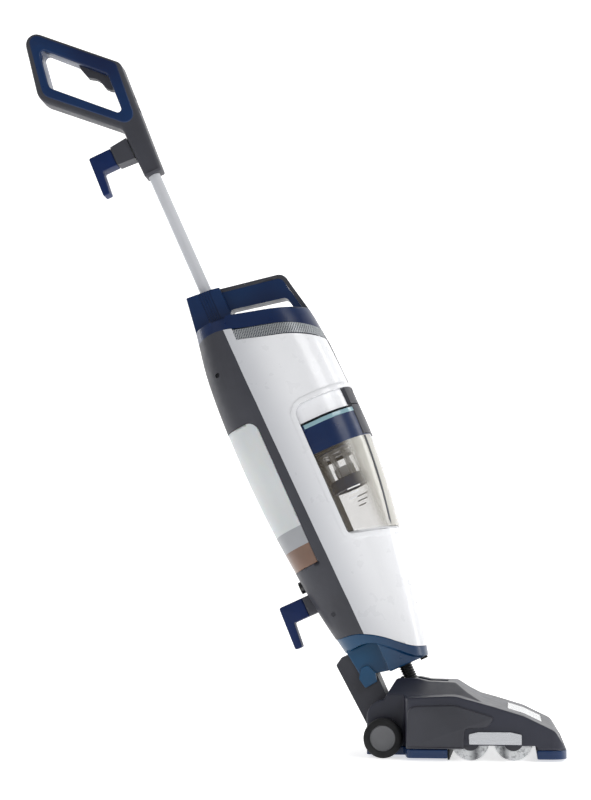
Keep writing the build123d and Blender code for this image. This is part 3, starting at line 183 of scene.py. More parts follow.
class Surface:
    """A principled material whose colour, gloss and relief vary over the object."""

    def __init__(self, name, **settings):
        self.material = bpy.data.materials.new(name)
        self.material.use_nodes = True
        self.nodes = self.material.node_tree.nodes
        self.links = self.material.node_tree.links
        self.shader = self.nodes["Principled BSDF"]
        self.place = self.nodes.new("ShaderNodeTexCoord").outputs["Object"]
        for key, value in settings.items():
            self.shader.inputs[key.replace("_", " ")].default_value = value

    def noise(self, scale, detail=3.0, stretch=(1, 1, 1)):
        """Noise of so many cells a metre, stretched along the row's axes."""
        mapping = self.nodes.new("ShaderNodeMapping")
        mapping.inputs["Scale"].default_value = stretch
        texture = self.nodes.new("ShaderNodeTexNoise")
        texture.inputs["Scale"].default_value = scale
        texture.inputs["Detail"].default_value = detail
        self.links.new(self.place, mapping.inputs["Vector"])
        self.links.new(mapping.outputs["Vector"], texture.inputs["Vector"])
        return texture.outputs["Fac"]

    def ramp(self, value, *stops):
        """Colours along a value."""
        node = self.nodes.new("ShaderNodeValToRGB")
        elements = node.color_ramp.elements
        while len(elements) < len(stops):
            elements.new(0.5)
        for element, (position, colour) in zip(elements, stops):
            element.position = position
            element.color = colour
        self.links.new(value, node.inputs["Fac"])
        return node.outputs["Color"]

    def spread(self, value, low, high):
        """A value brought between two limits."""
        node = self.nodes.new("ShaderNodeMapRange")
        node.inputs["From Min"].default_value = 0.3
        node.inputs["From Max"].default_value = 0.7
        node.inputs["To Min"].default_value = low
        node.inputs["To Max"].default_value = high
        self.links.new(value, node.inputs["Value"])
        return node.outputs["Result"]

    def forward(self, start, end, low, high):
        """A value that goes from low to high between two distances forward of the body's axis, in mm."""
        dot = self.nodes.new("ShaderNodeVectorMath")
        dot.operation = "DOT_PRODUCT"
        dot.inputs[1].default_value = (math.cos(LEAN), 0, math.sin(LEAN))
        self.links.new(self.place, dot.inputs[0])
        origin = AXLE.x * math.cos(LEAN) + AXLE.z * math.sin(LEAN)
        node = self.nodes.new("ShaderNodeMapRange")
        node.interpolation_type = "SMOOTHSTEP"
        node.inputs["From Min"].default_value = origin + start * MM
        node.inputs["From Max"].default_value = origin + end * MM
        node.inputs["To Min"].default_value = low
        node.inputs["To Max"].default_value = high
        self.links.new(dot.outputs["Value"], node.inputs["Value"])
        return node.outputs["Result"]

    def relief(self, value, depth, previous=None):
        """Relief of a depth in metres, on top of what is there."""
        node = self.nodes.new("ShaderNodeBump")
        node.inputs["Distance"].default_value = depth
        self.links.new(value, node.inputs["Height"])
        if previous:
            self.links.new(previous, node.inputs["Normal"])
        return node.outputs["Normal"]

    def set(self, socket, value):
        """Joins a value to the shader."""
        self.links.new(value, self.shader.inputs[socket])


def shades(colour, change):
    """A colour a little darker and a little lighter."""
    low = linear([max(c * (1 - change), 0) for c in colour])
    high = linear([min(c * (1 + change), 255) for c in colour])
    return low, high


def moulded(name, colour, rough, grain=0.00002, change=0.05, waves=0.0001, **settings):
    """Moulded plastic: faint mottling, fine eroded grain and uneven gloss."""
    surface = Surface(name, **settings)
    low, high = shades(colour, change)
    surface.set("Base Color", surface.ramp(surface.noise(14.0), (0.35, low), (0.65, high)))
    surface.set("Roughness", surface.spread(surface.noise(55.0), rough * 0.88, rough * 1.12))
    swell = surface.relief(surface.noise(18.0, detail=1.0), waves)
    surface.set("Normal", surface.relief(surface.noise(1400.0, detail=2.0), grain, swell))
    return surface.material


def blue_gloss(name, deep, light):
    """Deep blue moulding with slow patches of a lighter blue."""
    surface = Surface(name, Coat_Weight=0.12, Coat_Roughness=0.2, Specular_IOR_Level=0.4)
    patches = surface.ramp(surface.noise(7.0, detail=1.0), (0.38, linear(deep)), (0.62, linear(light)))
    surface.set("Base Color", patches)
    surface.set("Roughness", surface.spread(surface.noise(60.0), 0.27, 0.36))
    surface.set("Normal", surface.relief(surface.noise(1200.0, detail=2.0), 0.00002))
    return surface.material


def brushed(name, colour, rough, along=(1, 1, 1), **settings):
    """Drawn metal with fine lines along its length."""
    surface = Surface(name, Metallic=0.85, **settings)
    low, high = shades(colour, 0.05)
    lines = surface.noise(700.0, detail=2.0, stretch=along)
    surface.set("Base Color", surface.ramp(lines, (0.3, low), (0.7, high)))
    surface.set("Roughness", surface.spread(lines, rough * 0.8, rough * 1.2))
    surface.set("Normal", surface.relief(lines, 0.00001))
    return surface.material


def clear_plastic(name, colour, alpha, rough):
    """Clear tinted moulding with faint flow marks."""
    surface = Surface(name, Alpha=alpha, Coat_Weight=0.6, Coat_Roughness=0.05)
    low, high = shades(colour, 0.04)
    flow = surface.noise(12.0, stretch=(1, 1, 0.3))
    surface.set("Base Color", surface.ramp(flow, (0.35, low), (0.65, high)))
    surface.set("Roughness", surface.spread(surface.noise(45.0), rough * 0.8, rough * 1.2))
    surface.set("Normal", surface.relief(surface.noise(25.0, detail=1.0), 0.0001))
    return surface.material


def smoky_cup():
    """Clear smoky moulding, brown and see-through behind, with a painted reflection that makes it pale and less
    clear where it bends round the front.
    """
    surface = Surface("smoky", Coat_Weight=0.6, Coat_Roughness=0.05)
    # painted reflection: the real brown smoke tint turns pale and less see-through towards the front bend
    turn = surface.forward(100, 134, 0.0, 1.0)
    brown, reflection_white = linear((128, 118, 104)), linear((214, 212, 204))
    surface.set("Base Color", surface.ramp(turn, (0.0, brown), (1.0, reflection_white)))
    surface.set("Alpha", surface.forward(104, 138, 0.16, 0.70))
    surface.set("Roughness", surface.spread(surface.noise(45.0), 0.10, 0.20))
    surface.set("Normal", surface.relief(surface.noise(25.0, detail=1.0), 0.0001))
    return surface.material


def silver():
    """Silver lacquer over a moulded band."""
    surface = Surface("silver", Metallic=0.3)
    low, high = linear((170, 174, 178)), linear((184, 188, 192))
    surface.set("Base Color", surface.ramp(surface.noise(20.0), (0.35, low), (0.65, high)))
    surface.set("Roughness", surface.spread(surface.noise(60.0), 0.32, 0.42))
    surface.set("Normal", surface.relief(surface.noise(900.0), 0.00002))
    return surface.material


def white_shell():
    """Glossy white moulding, with painted shade making it greyer where it turns to the back."""
    surface = Surface("white_gloss", Coat_Weight=0.3, Coat_Roughness=0.1)
    # painted shade: base colour goes greyer towards the back, where the shell turns away from the lamps
    turn = surface.forward(18, 84, 0.0, 1.0)
    painted_shade_grey, white = linear((196, 198, 203)), linear((236, 237, 240))
    surface.set("Base Color", surface.ramp(turn, (0.0, painted_shade_grey), (1.0, white)))
    surface.set("Roughness", surface.spread(surface.noise(55.0), 0.26, 0.34))
    surface.set("Normal", surface.relief(surface.noise(1400.0), 0.00001))
    return surface.material


def frosted():
    """Frosted tank wall, milky with a soft inner glow."""
    surface = Surface("frosted", Alpha=0.8, Subsurface_Weight=0.2, Subsurface_Scale=0.01)
    low, high = linear((214, 216, 218)), linear((230, 231, 232))
    surface.set("Base Color", surface.ramp(surface.noise(9.0, detail=1.0), (0.3, low), (0.7, high)))
    surface.set("Roughness", surface.spread(surface.noise(45.0), 0.34, 0.42))
    surface.set("Normal", surface.relief(surface.noise(1200.0), 0.00001))
    return surface.material


def pile():
    """Microfibre, in white bands with grey between and flecks of grey all over."""
    surface = Surface("pile", Sheen_Weight=0.4, Sheen_Roughness=0.6)
    split = surface.nodes.new("ShaderNodeSeparateXYZ")
    surface.links.new(surface.place, split.inputs["Vector"])
    place = surface.nodes.new("ShaderNodeMapRange")
    place.inputs["From Min"].default_value = AXLE.x + PILE_SPAN[0] * MM
    place.inputs["From Max"].default_value = AXLE.x + PILE_SPAN[1] * MM
    surface.links.new(split.outputs["X"], place.inputs["Value"])
    white, pale, grey = linear((244, 245, 246)), linear((186, 187, 190)), linear((118, 120, 124))
    bands = surface.ramp(place.outputs["Result"], (0.0, white), (0.24, white), (0.315, grey), (0.39, white),
                         (0.56, white), (0.63, grey), (0.70, white), (1.0, white))
    flecks = surface.ramp(surface.noise(260.0, detail=2.0), (0.34, pale), (0.50, white))
    blend = surface.nodes.new("ShaderNodeMix")
    blend.data_type = "RGBA"
    blend.blend_type = "MULTIPLY"
    blend.inputs["Factor"].default_value = 1.0
    surface.links.new(bands, blend.inputs[MIX_A])
    surface.links.new(flecks, blend.inputs[MIX_B])
    surface.set("Base Color", blend.outputs[MIX_OUT])
    surface.set("Roughness", surface.spread(surface.noise(300.0), 0.8, 0.95))
    return surface.material


def rubbery(name, colour, rough):
    """Rubber with a fine dusty bloom."""
    surface = Surface(name, Specular_IOR_Level=0.35)
    low, high = shades(colour, 0.2)
    surface.set("Base Color", surface.ramp(surface.noise(60.0, detail=5.0), (0.35, low), (0.7, high)))
    surface.set("Roughness", surface.spread(surface.noise(90.0), rough * 0.9, rough * 1.1))
    surface.set("Normal", surface.relief(surface.noise(900.0), 0.00005))
    return surface.material


def paper():
    """Pale studio paper."""
    surface = Surface("paper", Roughness=0.9, Specular_IOR_Level=0.1, Emission_Strength=0.62)
    surface.shader.inputs["Emission Color"].default_value = (1.0, 1.0, 1.0, 1.0)
    low, high = (0.93, 0.93, 0.93, 1), (0.95, 0.95, 0.95, 1)
    surface.set("Base Color", surface.ramp(surface.noise(3.0), (0.3, low), (0.7, high)))
    return surface.material


def make_materials():
    """A material for each of the record's slots, and for the few looks that share a slot."""
    return {
        "blue_shell": blue_gloss("blue_gloss", (1, 20, 62), (2, 42, 86)),
        "teal": blue_gloss("teal_gloss", (2, 48, 86), (4, 70, 108)),
        "blue_soft": moulded("blue_satin", (1, 30, 78), 0.5, change=0.10, Specular_IOR_Level=0.3),
        "grey_shell": moulded("grey_satin", (60, 61, 68), 0.46, change=0.06, Specular_IOR_Level=0.35),
        "cover_grey": moulded("cover_grey", (44, 46, 58), 0.42, change=0.08, Specular_IOR_Level=0.4),
        "hub_grey": moulded("hub_grey", (98, 99, 102), 0.5, change=0.05),
        "white_shell": white_shell(),
        "silver_vent": silver(),
        "band_grey": moulded("band_grey", (150, 152, 156), 0.34, change=0.04, Metallic=0.2),
        "frosted": frosted(),
        "amber": moulded("amber", (104, 74, 56), 0.30, change=0.16, Coat_Weight=0.3),
        "smoky": smoky_cup(),
        "rim": clear_plastic("rim", (150, 186, 196), 0.85, 0.14),
        "pane": clear_plastic("pane", (214, 216, 218), 0.8, 0.2),
        "clear": clear_plastic("clear", (206, 206, 204), 0.45, 0.14),
        "black_plastic": moulded("black_plastic", (20, 21, 24), 0.30, change=0.2, Coat_Weight=0.4),
        "rubber": rubbery("rubber", (24, 24, 26), 0.6),
        "tread": rubbery("tread", (26, 27, 29), 0.66),
        "steel": brushed("steel", (190, 192, 196), 0.34, along=(1, 0.05, 1)),
        "pole_steel": moulded("pole_enamel", (196, 198, 203), 0.34, grain=0.000005, change=0.01, waves=0.0),
        "chrome": brushed("chrome", (186, 188, 192), 0.24, along=(0.1, 1, 1), Coat_Weight=0.2),
        "motor_case": brushed("motor_case", (74, 75, 80), 0.45, along=(1, 0.1, 1)),
        "tufts": pile(),
    }


MATERIALS = {}


def dress_nodes():
    """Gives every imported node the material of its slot."""
    for part in frame["record"]["subparts"]:
        node = NODES[part["node"]]
        node.data.materials.clear()
        node.data.materials.append(MATERIALS[part["material_slot"]])
    NODES["brush_window"].data.materials[0] = MATERIALS["pane"]


# ------------------------------------------------------------------ building helpers
NEARLY_STRAIGHT = 1.55    # half angle, in radians, past which a corner gets no arc
ARC_SHARE = 0.49          # most of a side that an arc takes
MERGE = 0.00001           # points nearer than this are one point, in metres
BEYOND = 0.02             # share of the body's depth that a point may lie outside it
LATHE_TURNS = 72


def finish_piece(name, mesh, body, slot, replaced=(), sharp=35.0, material=None):
    """Links a mesh that is already in the row frame, shades it and seats it on its body."""
    mesh.name = name
    piece = bpy.data.objects.new(name, mesh)
    bpy.context.scene.collection.objects.link(piece)
    mesh.polygons.foreach_set("use_smooth", [True] * len(mesh.polygons))
    if sharp:
        mesh.set_sharp_from_angle(angle=math.radians(sharp))
    mesh.materials.clear()
    mesh.materials.append(material or MATERIALS[slot])
    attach(piece, body)
    if replaced:
        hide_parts(*replaced)
    return piece


def rounded(points, radii, steps=7):
    """Corner points made an outline with an arc at each corner."""
    outline = []
    count = len(points)
    for index, point in enumerate(points):
        here = Vector(point)
        before = Vector(points[index - 1]) - here
        after = Vector(points[(index + 1) % count]) - here
        half = before.angle(after) / 2
        if half > NEARLY_STRAIGHT:
            outline.append(here)
            continue
        reach = min(radii[index] / math.tan(half), ARC_SHARE * before.length, ARC_SHARE * after.length)
        radius = reach * math.tan(half)
        middle = here + (before.normalized() + after.normalized()).normalized() * (radius / math.sin(half))
        start = here + before.normalized() * reach - middle
        end = here + after.normalized() * reach - middle
        turn = start.angle_signed(end)
        for step in range(steps + 1):
            angle = -turn * step / steps
            outline.append(middle + Vector((start.x * math.cos(angle) - start.y * math.sin(angle),
                                            start.x * math.sin(angle) + start.y * math.cos(angle))))
    return outline


def plate_mesh(outlines, y_low, y_high, rim, steps=4):
    """A side-view plate from an outline and its holes, with rounded rims, in millimetres."""
    data = bpy.data.curves.new("plate", "CURVE")
    data.dimensions = "2D"
    data.fill_mode = "BOTH"
    data.extrude = (y_high - y_low) / 2 - rim
    data.bevel_depth = rim
    data.bevel_resolution = steps
    data.offset = -rim
    for outline in outlines:
        spline = data.splines.new("POLY")
        spline.points.add(len(outline) - 1)
        for target, point in zip(spline.points, outline):
            target.co = (point[0], point[1], 0, 1)
        spline.use_cyclic_u = True
    holder = bpy.data.objects.new("plate", data)
    bpy.context.scene.collection.objects.link(holder)
    bpy.context.view_layer.update()
    mesh = bpy.data.meshes.new_from_object(holder.evaluated_get(bpy.context.evaluated_depsgraph_get()))
    bpy.data.objects.remove(holder)
    mesh.transform(Matrix.Translation((0, (y_low + y_high) / 2, 0)) @ Matrix.Rotation(math.pi / 2, 4, "X"))
    weld(mesh)
    return mesh


def weld(mesh, distance=0.001):
    """Joins points that lie together and makes the faces look outward."""
    work = bmesh.new()
    work.from_mesh(mesh)
    bmesh.ops.remove_doubles(work, verts=work.verts, dist=distance)
    bmesh.ops.recalc_face_normals(work, faces=work.faces)
    work.to_mesh(mesh)
    work.free()


def plate(name, matrix, body, slot, outlines, y_low, y_high, rim, replaced=(), material=None):
    """A rounded plate set in its frame."""
    mesh = plate_mesh(outlines, y_low, y_high, rim)
    mesh.transform(matrix)
    return finish_piece(name, mesh, body, slot, replaced, sharp=50.0, material=material)


def hermite(rows, height, column):
    """A column of a table at a height, on a smooth curve through its rows."""
    last = len(rows) - 1
    index = max(0, min(last - 1, sum(height >= row[0] for row in rows) - 1))
    low, high = rows[index], rows[index + 1]
    span = high[0] - low[0]
    t = min(max((height - low[0]) / span, 0.0), 1.0)

    def slope(i):
        before, after = rows[max(i - 1, 0)], rows[min(i + 1, last)]
        return (after[column] - before[column]) / (after[0] - before[0])

    a, b = slope(index) * span, slope(index + 1) * span
    return ((2 * t ** 3 - 3 * t ** 2 + 1) * low[column] + (t ** 3 - 2 * t ** 2 + t) * a
            + (3 * t ** 2 - 2 * t ** 3) * high[column] + (t ** 3 - t ** 2) * b)


def straight(rows, height, column):
    """The same column with straight runs between its rows."""
    return float(np.interp(height, [row[0] for row in rows], [row[column] for row in rows]))


def smooth_to_body(work):
    """Takes the body's straight runs between stations to one smooth curve."""
    for vert in work.verts:
        x, y, z = vert.co
        rear, front, width = (straight(STATIONS, z, column) for column in (1, 2, 3))
        rear_s, front_s, width_s = (hermite(STATIONS, z, column) for column in (1, 2, 3))
        inside = min(max((x - rear) / (front - rear), -BEYOND), 1 + BEYOND)
        if STATIONS[0][0] <= z <= STATIONS[-1][0]:
            vert.co.x = x + (rear_s - rear) + inside * ((front_s - rear_s) - (front - rear))
            vert.co.y = y * width_s / width


def refined(name, node, body, slot, step=7.0, sharp=35.0):
    """A packed shell again, cut finely along the body and laid on its smooth form."""
    work = bmesh.new()
    work.from_mesh(NODES[node].data)
    bmesh.ops.transform(work, matrix=IN_BODY.inverted(), verts=work.verts)
    bmesh.ops.remove_doubles(work, verts=work.verts, dist=0.002)
    low = min(vert.co.z for vert in work.verts)
    high = max(vert.co.z for vert in work.verts)
    height = low + step
    while height < high:
        bmesh.ops.bisect_plane(work, geom=work.verts[:] + work.edges[:] + work.faces[:], dist=0.001,
                               plane_co=(0, 0, height), plane_no=(0, 0, 1))
        height += step
    smooth_to_body(work)
    bmesh.ops.transform(work, matrix=IN_BODY, verts=work.verts)
    bmesh.ops.recalc_face_normals(work, faces=work.faces)
    mesh = bpy.data.meshes.new(name)
    work.to_mesh(mesh)
    work.free()
    piece = finish_piece(name, mesh, body, slot, (node,), sharp)
    weighted = piece.modifiers.new("weighted", "WEIGHTED_NORMAL")
    weighted.keep_sharp = True
    return piece


def softened(name, node, body, slot, voxel, passes, sharp=None, material=None):
    """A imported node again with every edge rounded, by remeshing it and easing its points."""
    mesh = NODES[node].data.copy()
    weld(mesh, MERGE)
    piece = bpy.data.objects.new(name, mesh)
    bpy.context.scene.collection.objects.link(piece)
    remesh = piece.modifiers.new("remesh", "REMESH")
    remesh.mode = "VOXEL"
    remesh.voxel_size = voxel * MM
    ease = piece.modifiers.new("ease", "SMOOTH")
    ease.factor = 0.5
    ease.iterations = passes
    bpy.context.view_layer.update()
    final = bpy.data.meshes.new_from_object(piece.evaluated_get(bpy.context.evaluated_depsgraph_get()))
    bpy.data.objects.remove(piece)
    return finish_piece(name, final, body, slot, (node,), sharp, material)


def tube_faces(rings, corners, first=0):
    """Four-sided faces between rings of points that follow each other, from a first point on."""
    faces = []
    for ring in range(rings):
        for corner in range(corners):
            here = first + ring * corners + corner
            there = first + ring * corners + (corner + 1) % corners
            faces.append((here, there, there + corners, here + corners))
    return faces


def lathe(name, profile, centre, body, slot, replaced=(), material=None):
    """A round piece about a line across the machine, from (radius, y) points in row millimetres."""
    verts, faces = [], []
    for step in range(LATHE_TURNS):
        angle = 2 * math.pi * step / LATHE_TURNS
        for radius, y in profile:
            reach = radius * MM
            verts.append((centre.x + reach * math.sin(angle), y * MM, centre.z + reach * math.cos(angle)))
    count = len(profile)
    for step in range(LATHE_TURNS):
        for index in range(count - 1):
            here, there = step * count, (step + 1) % LATHE_TURNS * count
            faces.append((here + index, here + index + 1, there + index + 1, there + index))
    mesh = bpy.data.meshes.new(name)
    mesh.from_pydata(verts, [], faces)
    weld(mesh, MERGE)
    return finish_piece(name, mesh, body, slot, replaced, sharp=40.0, material=material)


# ------------------------------------------------------------------ handle
HANDLE = [(-94.5, 304), (24, 183), (15.5, 0), (-12.5, 0), (-14.5, 84), (-115, 184)]
HANDLE_RADII = [16, 14, 3, 3, 14, 30]
GRIP_HOLE = [(-82.5, 261), (-1, 173), (-3.5, 104), (-91.5, 195)]
GRIP_RADII = [6, 10, 5, 12]
INSERT = [(-90.0, 295), (18.5, 184.4), (10.5, 72), (-106.0, 187)]
INSERT_RADII = [11, 14, 14, 22]
INSERT_JOINT = 2.5        # how far the grey loop stays outside the grip hole
HANDLE_HALF, HANDLE_RIM = 17.2, 5.0
FACE_HALF, FACE_RIM = 18, 2.6
SEAM_HALF = 0.08          # half the joint between the handle's two shells


def handle():
    """Grey loop with soft rims, and the blue faces let into it."""
    outer = rounded(HANDLE, HANDLE_RADII)
    hole = rounded(GRIP_HOLE, GRIP_RADII)
    inner = rounded(grown(GRIP_HOLE, INSERT_JOINT), [radius + INSERT_JOINT for radius in GRIP_RADII])
    for side, half in (("right", -1), ("left", 1)):
        mesh = plate_mesh([outer, inner], -HANDLE_HALF, HANDLE_HALF, HANDLE_RIM, steps=6)
        cut_half(mesh, half)
        mesh.transform(IN_HANDLE)
        finish_piece(f"handle_{side}", mesh, "upright", "grey_shell", (f"handle_shell_{side}",), sharp=50.0)
    face = rounded(INSERT, INSERT_RADII)
    plate("handle_face", IN_HANDLE, "upright", "blue_shell", [face, hole], -FACE_HALF, FACE_HALF, FACE_RIM,
          ("handle_insert",))


def grown(points, distance):
    """A convex outline moved outward."""
    middle = sum((Vector(point) for point in points), Vector((0, 0))) / len(points)
    result = []
    count = len(points)
    for index in range(count):
        before = (Vector(points[index]) - Vector(points[index - 1])).normalized()
        after = (Vector(points[(index + 1) % count]) - Vector(points[index])).normalized()
        normals = [Vector((edge.y, -edge.x)) for edge in (before, after)]
        if normals[0].dot(Vector(points[index]) - middle) < 0:
            normals = [-normal for normal in normals]
        bisector = (normals[0] + normals[1]).normalized()
        result.append(Vector(points[index]) + bisector * distance / bisector.dot(normals[0]))
    return result


def cut_half(mesh, side):
    """Keeps one side of a piece and closes it at the middle."""
    work = bmesh.new()
    work.from_mesh(mesh)
    cut = bmesh.ops.bisect_plane(work, geom=work.verts[:] + work.edges[:] + work.faces[:], dist=0.001,
                                 plane_co=(0, side * SEAM_HALF, 0), plane_no=(0, -side, 0), clear_outer=True)
    edges = [item for item in cut["geom_cut"] if isinstance(item, bmesh.types.BMEdge)]
    bmesh.ops.triangle_fill(work, edges=edges, use_beauty=True)
    bmesh.ops.recalc_face_normals(work, faces=work.faces)
    work.to_mesh(mesh)
    work.free()


def cord_hooks():
    """Both cord hooks with soft edges: an arm backwards and a leg that hangs from its end."""
    reach, drop, arm, leg, half = 37.0, 36.0, 28.0, 11.0, 12.0
    splay, foot_gap, rim = 2.0, 0.5, 1.8
    places = (("upper", POLE_X - 43.5, HANDLE_Z + 52.0), ("lower", -36.0, 210.0))
    for name, x, z in places:
        start, end, inner = x - foot_gap, x - reach, x - reach + leg
        top, low, tip = z + arm / 2, z - arm / 2, z - arm / 2 - drop
        outline = [(start, low), (start, top), (end, top), (end - splay, tip), (inner - splay, tip),
                   (inner + 1, low)]
        shape = rounded(outline, [1, 1, 3, 2.5, 2.5, 2])
        plate(f"cord_hook_{name}", IN_BODY, f"{name}_cord_hook", "blue_soft", [shape], -half, half, rim,
              (f"{name}_hook",))


# ------------------------------------------------------------------ body
# the cap's seam and the vent band's lower edge, seen from the side in the body frame
CAP_SEAM = [(-40, 622), (-14, 624), (4, 623.5), (22, 620), (55, 609), (82, 601), (109, 592), (134, 580),
            (160, 562)]
VENT_LOW = [(20, 600), (43, 595), (70, 586), (99, 577), (128, 565), (160, 547)]
VENT_MIDDLE = 590.0       # height at which the band's length is measured
VENT_SPAN = (13.4, 160.0)     # where the band starts and ends, measured round from the front's middle
VENT_COLUMNS, VENT_ROWS = 46, 4
VENT_WALL = 1.6
VENT_SUNK = 0.1           # band below the body's surface
EDGE = 0.6                # joint along the vent band's edges
HOLE_CORNERS = 8
HOLE_REACH = 0.3          # hole's radius as a share of its cell
RIBBON_STEP_UP, RIBBON_STEP_ROUND = 6, 3
RIBBON_ROOT = 2.0         # a ribbon's inner side under the body's outer form
RIBBON_EASE = 0.4         # how much deeper a ribbon's rim lies than its middle


def shells():
    """White halves, spine, collar, latch, vent, cap, front strip and tank housing on the smooth form."""
    refined("body_side_right", "side_shell_right", "upright", "white_shell")
    refined("body_side_left", "side_shell_left", "upright", "white_shell")
    refined("spine", "spine_shell", "upright", "grey_shell")
    teal = MATERIALS["teal"]
    softened("collar", "base_collar", "upright", "blue_shell", voxel=1.0, passes=3, material=teal)
    softened("recline_tab", "recline_latch", "recline_tab", "blue_soft", voxel=0.5, passes=4, material=teal)
    vent_band()
    refined("cap", "top_cap", "upright", "blue_shell", sharp=30.0)
    refined("strip", "front_trim", "upright", "grey_shell")
    refined("tank_housing", "tank_bay", "upright", "white_shell")


def skin(height, run, side, inset=0.0):
    """A point of the body's surface, from its height and its distance round from the front's middle."""
    front, width = (hermite(STATIONS, height, column) for column in (2, 3))
    flat = width / 2 - CORNER
    quarter = CORNER * math.pi / 2
    if run < flat:
        return front - inset, side * run
    if run < flat + quarter:
        angle = (run - flat) / CORNER
        reach = CORNER - inset
        return front - CORNER + reach * math.cos(angle), side * (flat + reach * math.sin(angle))
    return front - CORNER - (run - flat - quarter), side * (width / 2 - inset)


def vent_point(run, across, side, inset):
    """A point of the vent band: across goes from 0 at its lower edge to 1 at the cap's seam."""
    x, _ = skin(VENT_MIDDLE, run, side)
    low, high = hermite(VENT_LOW, x, 1), hermite(CAP_SEAM, x, 1)
    height = low + EDGE + (high - low - 2 * EDGE) * across
    x, y = skin(height, run, side, inset)
    return x, y, height


def vent_band():
    """Silver band round the front, pierced by rows of fine holes that lead through its wall."""
    verts, faces = [], []
    start, end = VENT_SPAN
    length, depth = (end - start) / VENT_COLUMNS, 1 / VENT_ROWS
    for side in (-1, 1):
        for column in range(VENT_COLUMNS):
            run = start + (end - start) * column / VENT_COLUMNS
            for row in range(VENT_ROWS):
                pierced_cell(verts, faces, side, run, length, row / VENT_ROWS, depth)
    mesh = bpy.data.meshes.new("exhaust_band")
    mesh.from_pydata(verts, [], faces)
    mesh.transform(IN_BODY)
    weld(mesh, MERGE)
    finish_piece("exhaust_band", mesh, "upright", "silver_vent", ("vent_grille",), sharp=50.0)


def pierced_cell(verts, faces, side, run, length, across, depth):
    """One cell of the band: its outer face round a hole, and the hole's wall."""
    base = len(verts)
    for index in range(HOLE_CORNERS):
        angle = 2 * math.pi * (index + 0.5) / HOLE_CORNERS
        c, s = math.cos(angle), math.sin(angle)
        edge = 0.5 / max(abs(c), abs(s))
        for reach, inset in ((edge, VENT_SUNK), (HOLE_REACH, VENT_SUNK), (HOLE_REACH, VENT_WALL)):
            along = run + length * (0.5 + reach * c)
            verts.append(vent_point(along, across + depth * (0.5 + reach * s), side, inset))
    for index in range(HOLE_CORNERS):
        here, there = base + 3 * index, base + 3 * ((index + 1) % HOLE_CORNERS)
        faces.append((here, there, there + 1, here + 1))
        faces.append((here + 1, there + 1, there + 2, here + 2))


def ribbon(name, body, slot, heights, runs, depth, material):
    """A thin band on both sides, so deep under the body's outer form, between two heights and two runs."""
    rows = max(2, int((heights[1] - heights[0]) / RIBBON_STEP_UP))
    columns = max(2, int((runs[1] - runs[0]) / RIBBON_STEP_ROUND))
    verts, faces = [], []
    for side in (-1, 1):
        verts += ribbon_layer(heights, runs, rows, columns, side, depth, depth + RIBBON_EASE)
        verts += ribbon_layer(heights, runs, rows, columns, side, RIBBON_ROOT, RIBBON_ROOT)
    count, width = (rows + 1) * (columns + 1), columns + 1
    for layer in range(4):
        for row in range(rows):
            for column in range(columns):
                a = layer * count + row * width + column
                faces.append((a, a + 1, a + 1 + width, a + width))
    edge = rim_loop(rows, columns)
    for layer in (0, 2):
        for here, there in zip(edge, edge[1:] + edge[:1]):
            a, b = layer * count + here, layer * count + there
            faces.append((a, b, b + count, a + count))
    mesh = bpy.data.meshes.new(name)
    mesh.from_pydata(verts, [], faces)
    mesh.transform(IN_BODY)
    weld(mesh, MERGE)
    return finish_piece(name, mesh, body, slot, sharp=40.0, material=material)


def ribbon_layer(heights, runs, rows, columns, side, inset, rim_inset):
    """Points of one layer of a ribbon, which lies at one depth inside and at another along its rim."""
    points = []
    for row in range(rows + 1):
        height = heights[0] + (heights[1] - heights[0]) * row / rows
        for column in range(columns + 1):
            run = runs[0] + (runs[1] - runs[0]) * column / columns
            rim = row in (0, rows) or column in (0, columns)
            x, y = skin(height, run, side, rim_inset if rim else inset)
            points.append((x, y, height))
    return points


def rim_loop(rows, columns):
    """Numbers of the points round a grid's edge, in order."""
    width = columns + 1
    loop = list(range(width))
    loop += [row * width + columns for row in range(1, rows + 1)]
    loop += [rows * width + column for column in range(columns - 1, -1, -1)]
    loop += [row * width for row in range(rows - 1, 0, -1)]
    return loop


# ------------------------------------------------------------------ tanks
# heights up the body, and runs round its surface from the front's middle
# the dark strip painted as shade in the cup's front groove, and the lid's pale rim
GROOVE_SHADE_HEIGHTS, GROOVE_SHADE_RUNS = (266.0, 397.0), (44.0, 48.0)
LID_RIM_HEIGHTS, LID_RIM_RUNS = (436.0, 442.0), (48.0, 133.0)
GROOVE_SHADE_DEPTH, LID_RIM_DEPTH, MARK_DEPTH = 0.4, 0.5, 0.3
MARK_HEIGHTS = (318.0, 325.0, 332.0)
MARK_THICK = 1.8
MARK_START, MARK_END = 92.0, 104.0
MARK_STEP = 4             # each mark is this much longer than the one below


def tanks():
    """The tanks on the same smooth form, with a dark strip painted as the shade in the cup's front groove, and the
    lid's pale rim.
    """
    refined("clean_vessel", "clean_tank", "clean_water_tank", "frosted")
    refined("clean_band", "clean_tank_band", "clean_water_tank", "band_grey", step=4.0)
    refined("clean_cap", "clean_tank_cap", "clean_water_tank", "amber", step=4.0)
    refined("dirty_cup", "tank_cup", "dirty_water_tank", "smoky")
    refined("dirty_lid", "tank_lid", "dirty_water_tank", "blue_shell", step=5.0)
    refined("tank_button", "tank_latch", "tank_button", "grey_shell")
    # painted shade: a dark strip where the cup's front groove looks dark
    ribbon("cup_groove_shade", "dirty_water_tank", "smoky", GROOVE_SHADE_HEIGHTS, GROOVE_SHADE_RUNS, GROOVE_SHADE_DEPTH,
           MATERIALS["motor_case"])
    ribbon("lid_rim", "dirty_water_tank", "clear", LID_RIM_HEIGHTS, LID_RIM_RUNS, LID_RIM_DEPTH,
           MATERIALS["rim"])
    for index, height in enumerate(MARK_HEIGHTS):
        heights = (height, height + MARK_THICK)
        runs = (MARK_START - MARK_STEP * index, MARK_END)
        ribbon(f"level_mark_{index + 1}", "dirty_water_tank", "white_shell", heights, runs, MARK_DEPTH,
               MATERIALS["white_shell"])


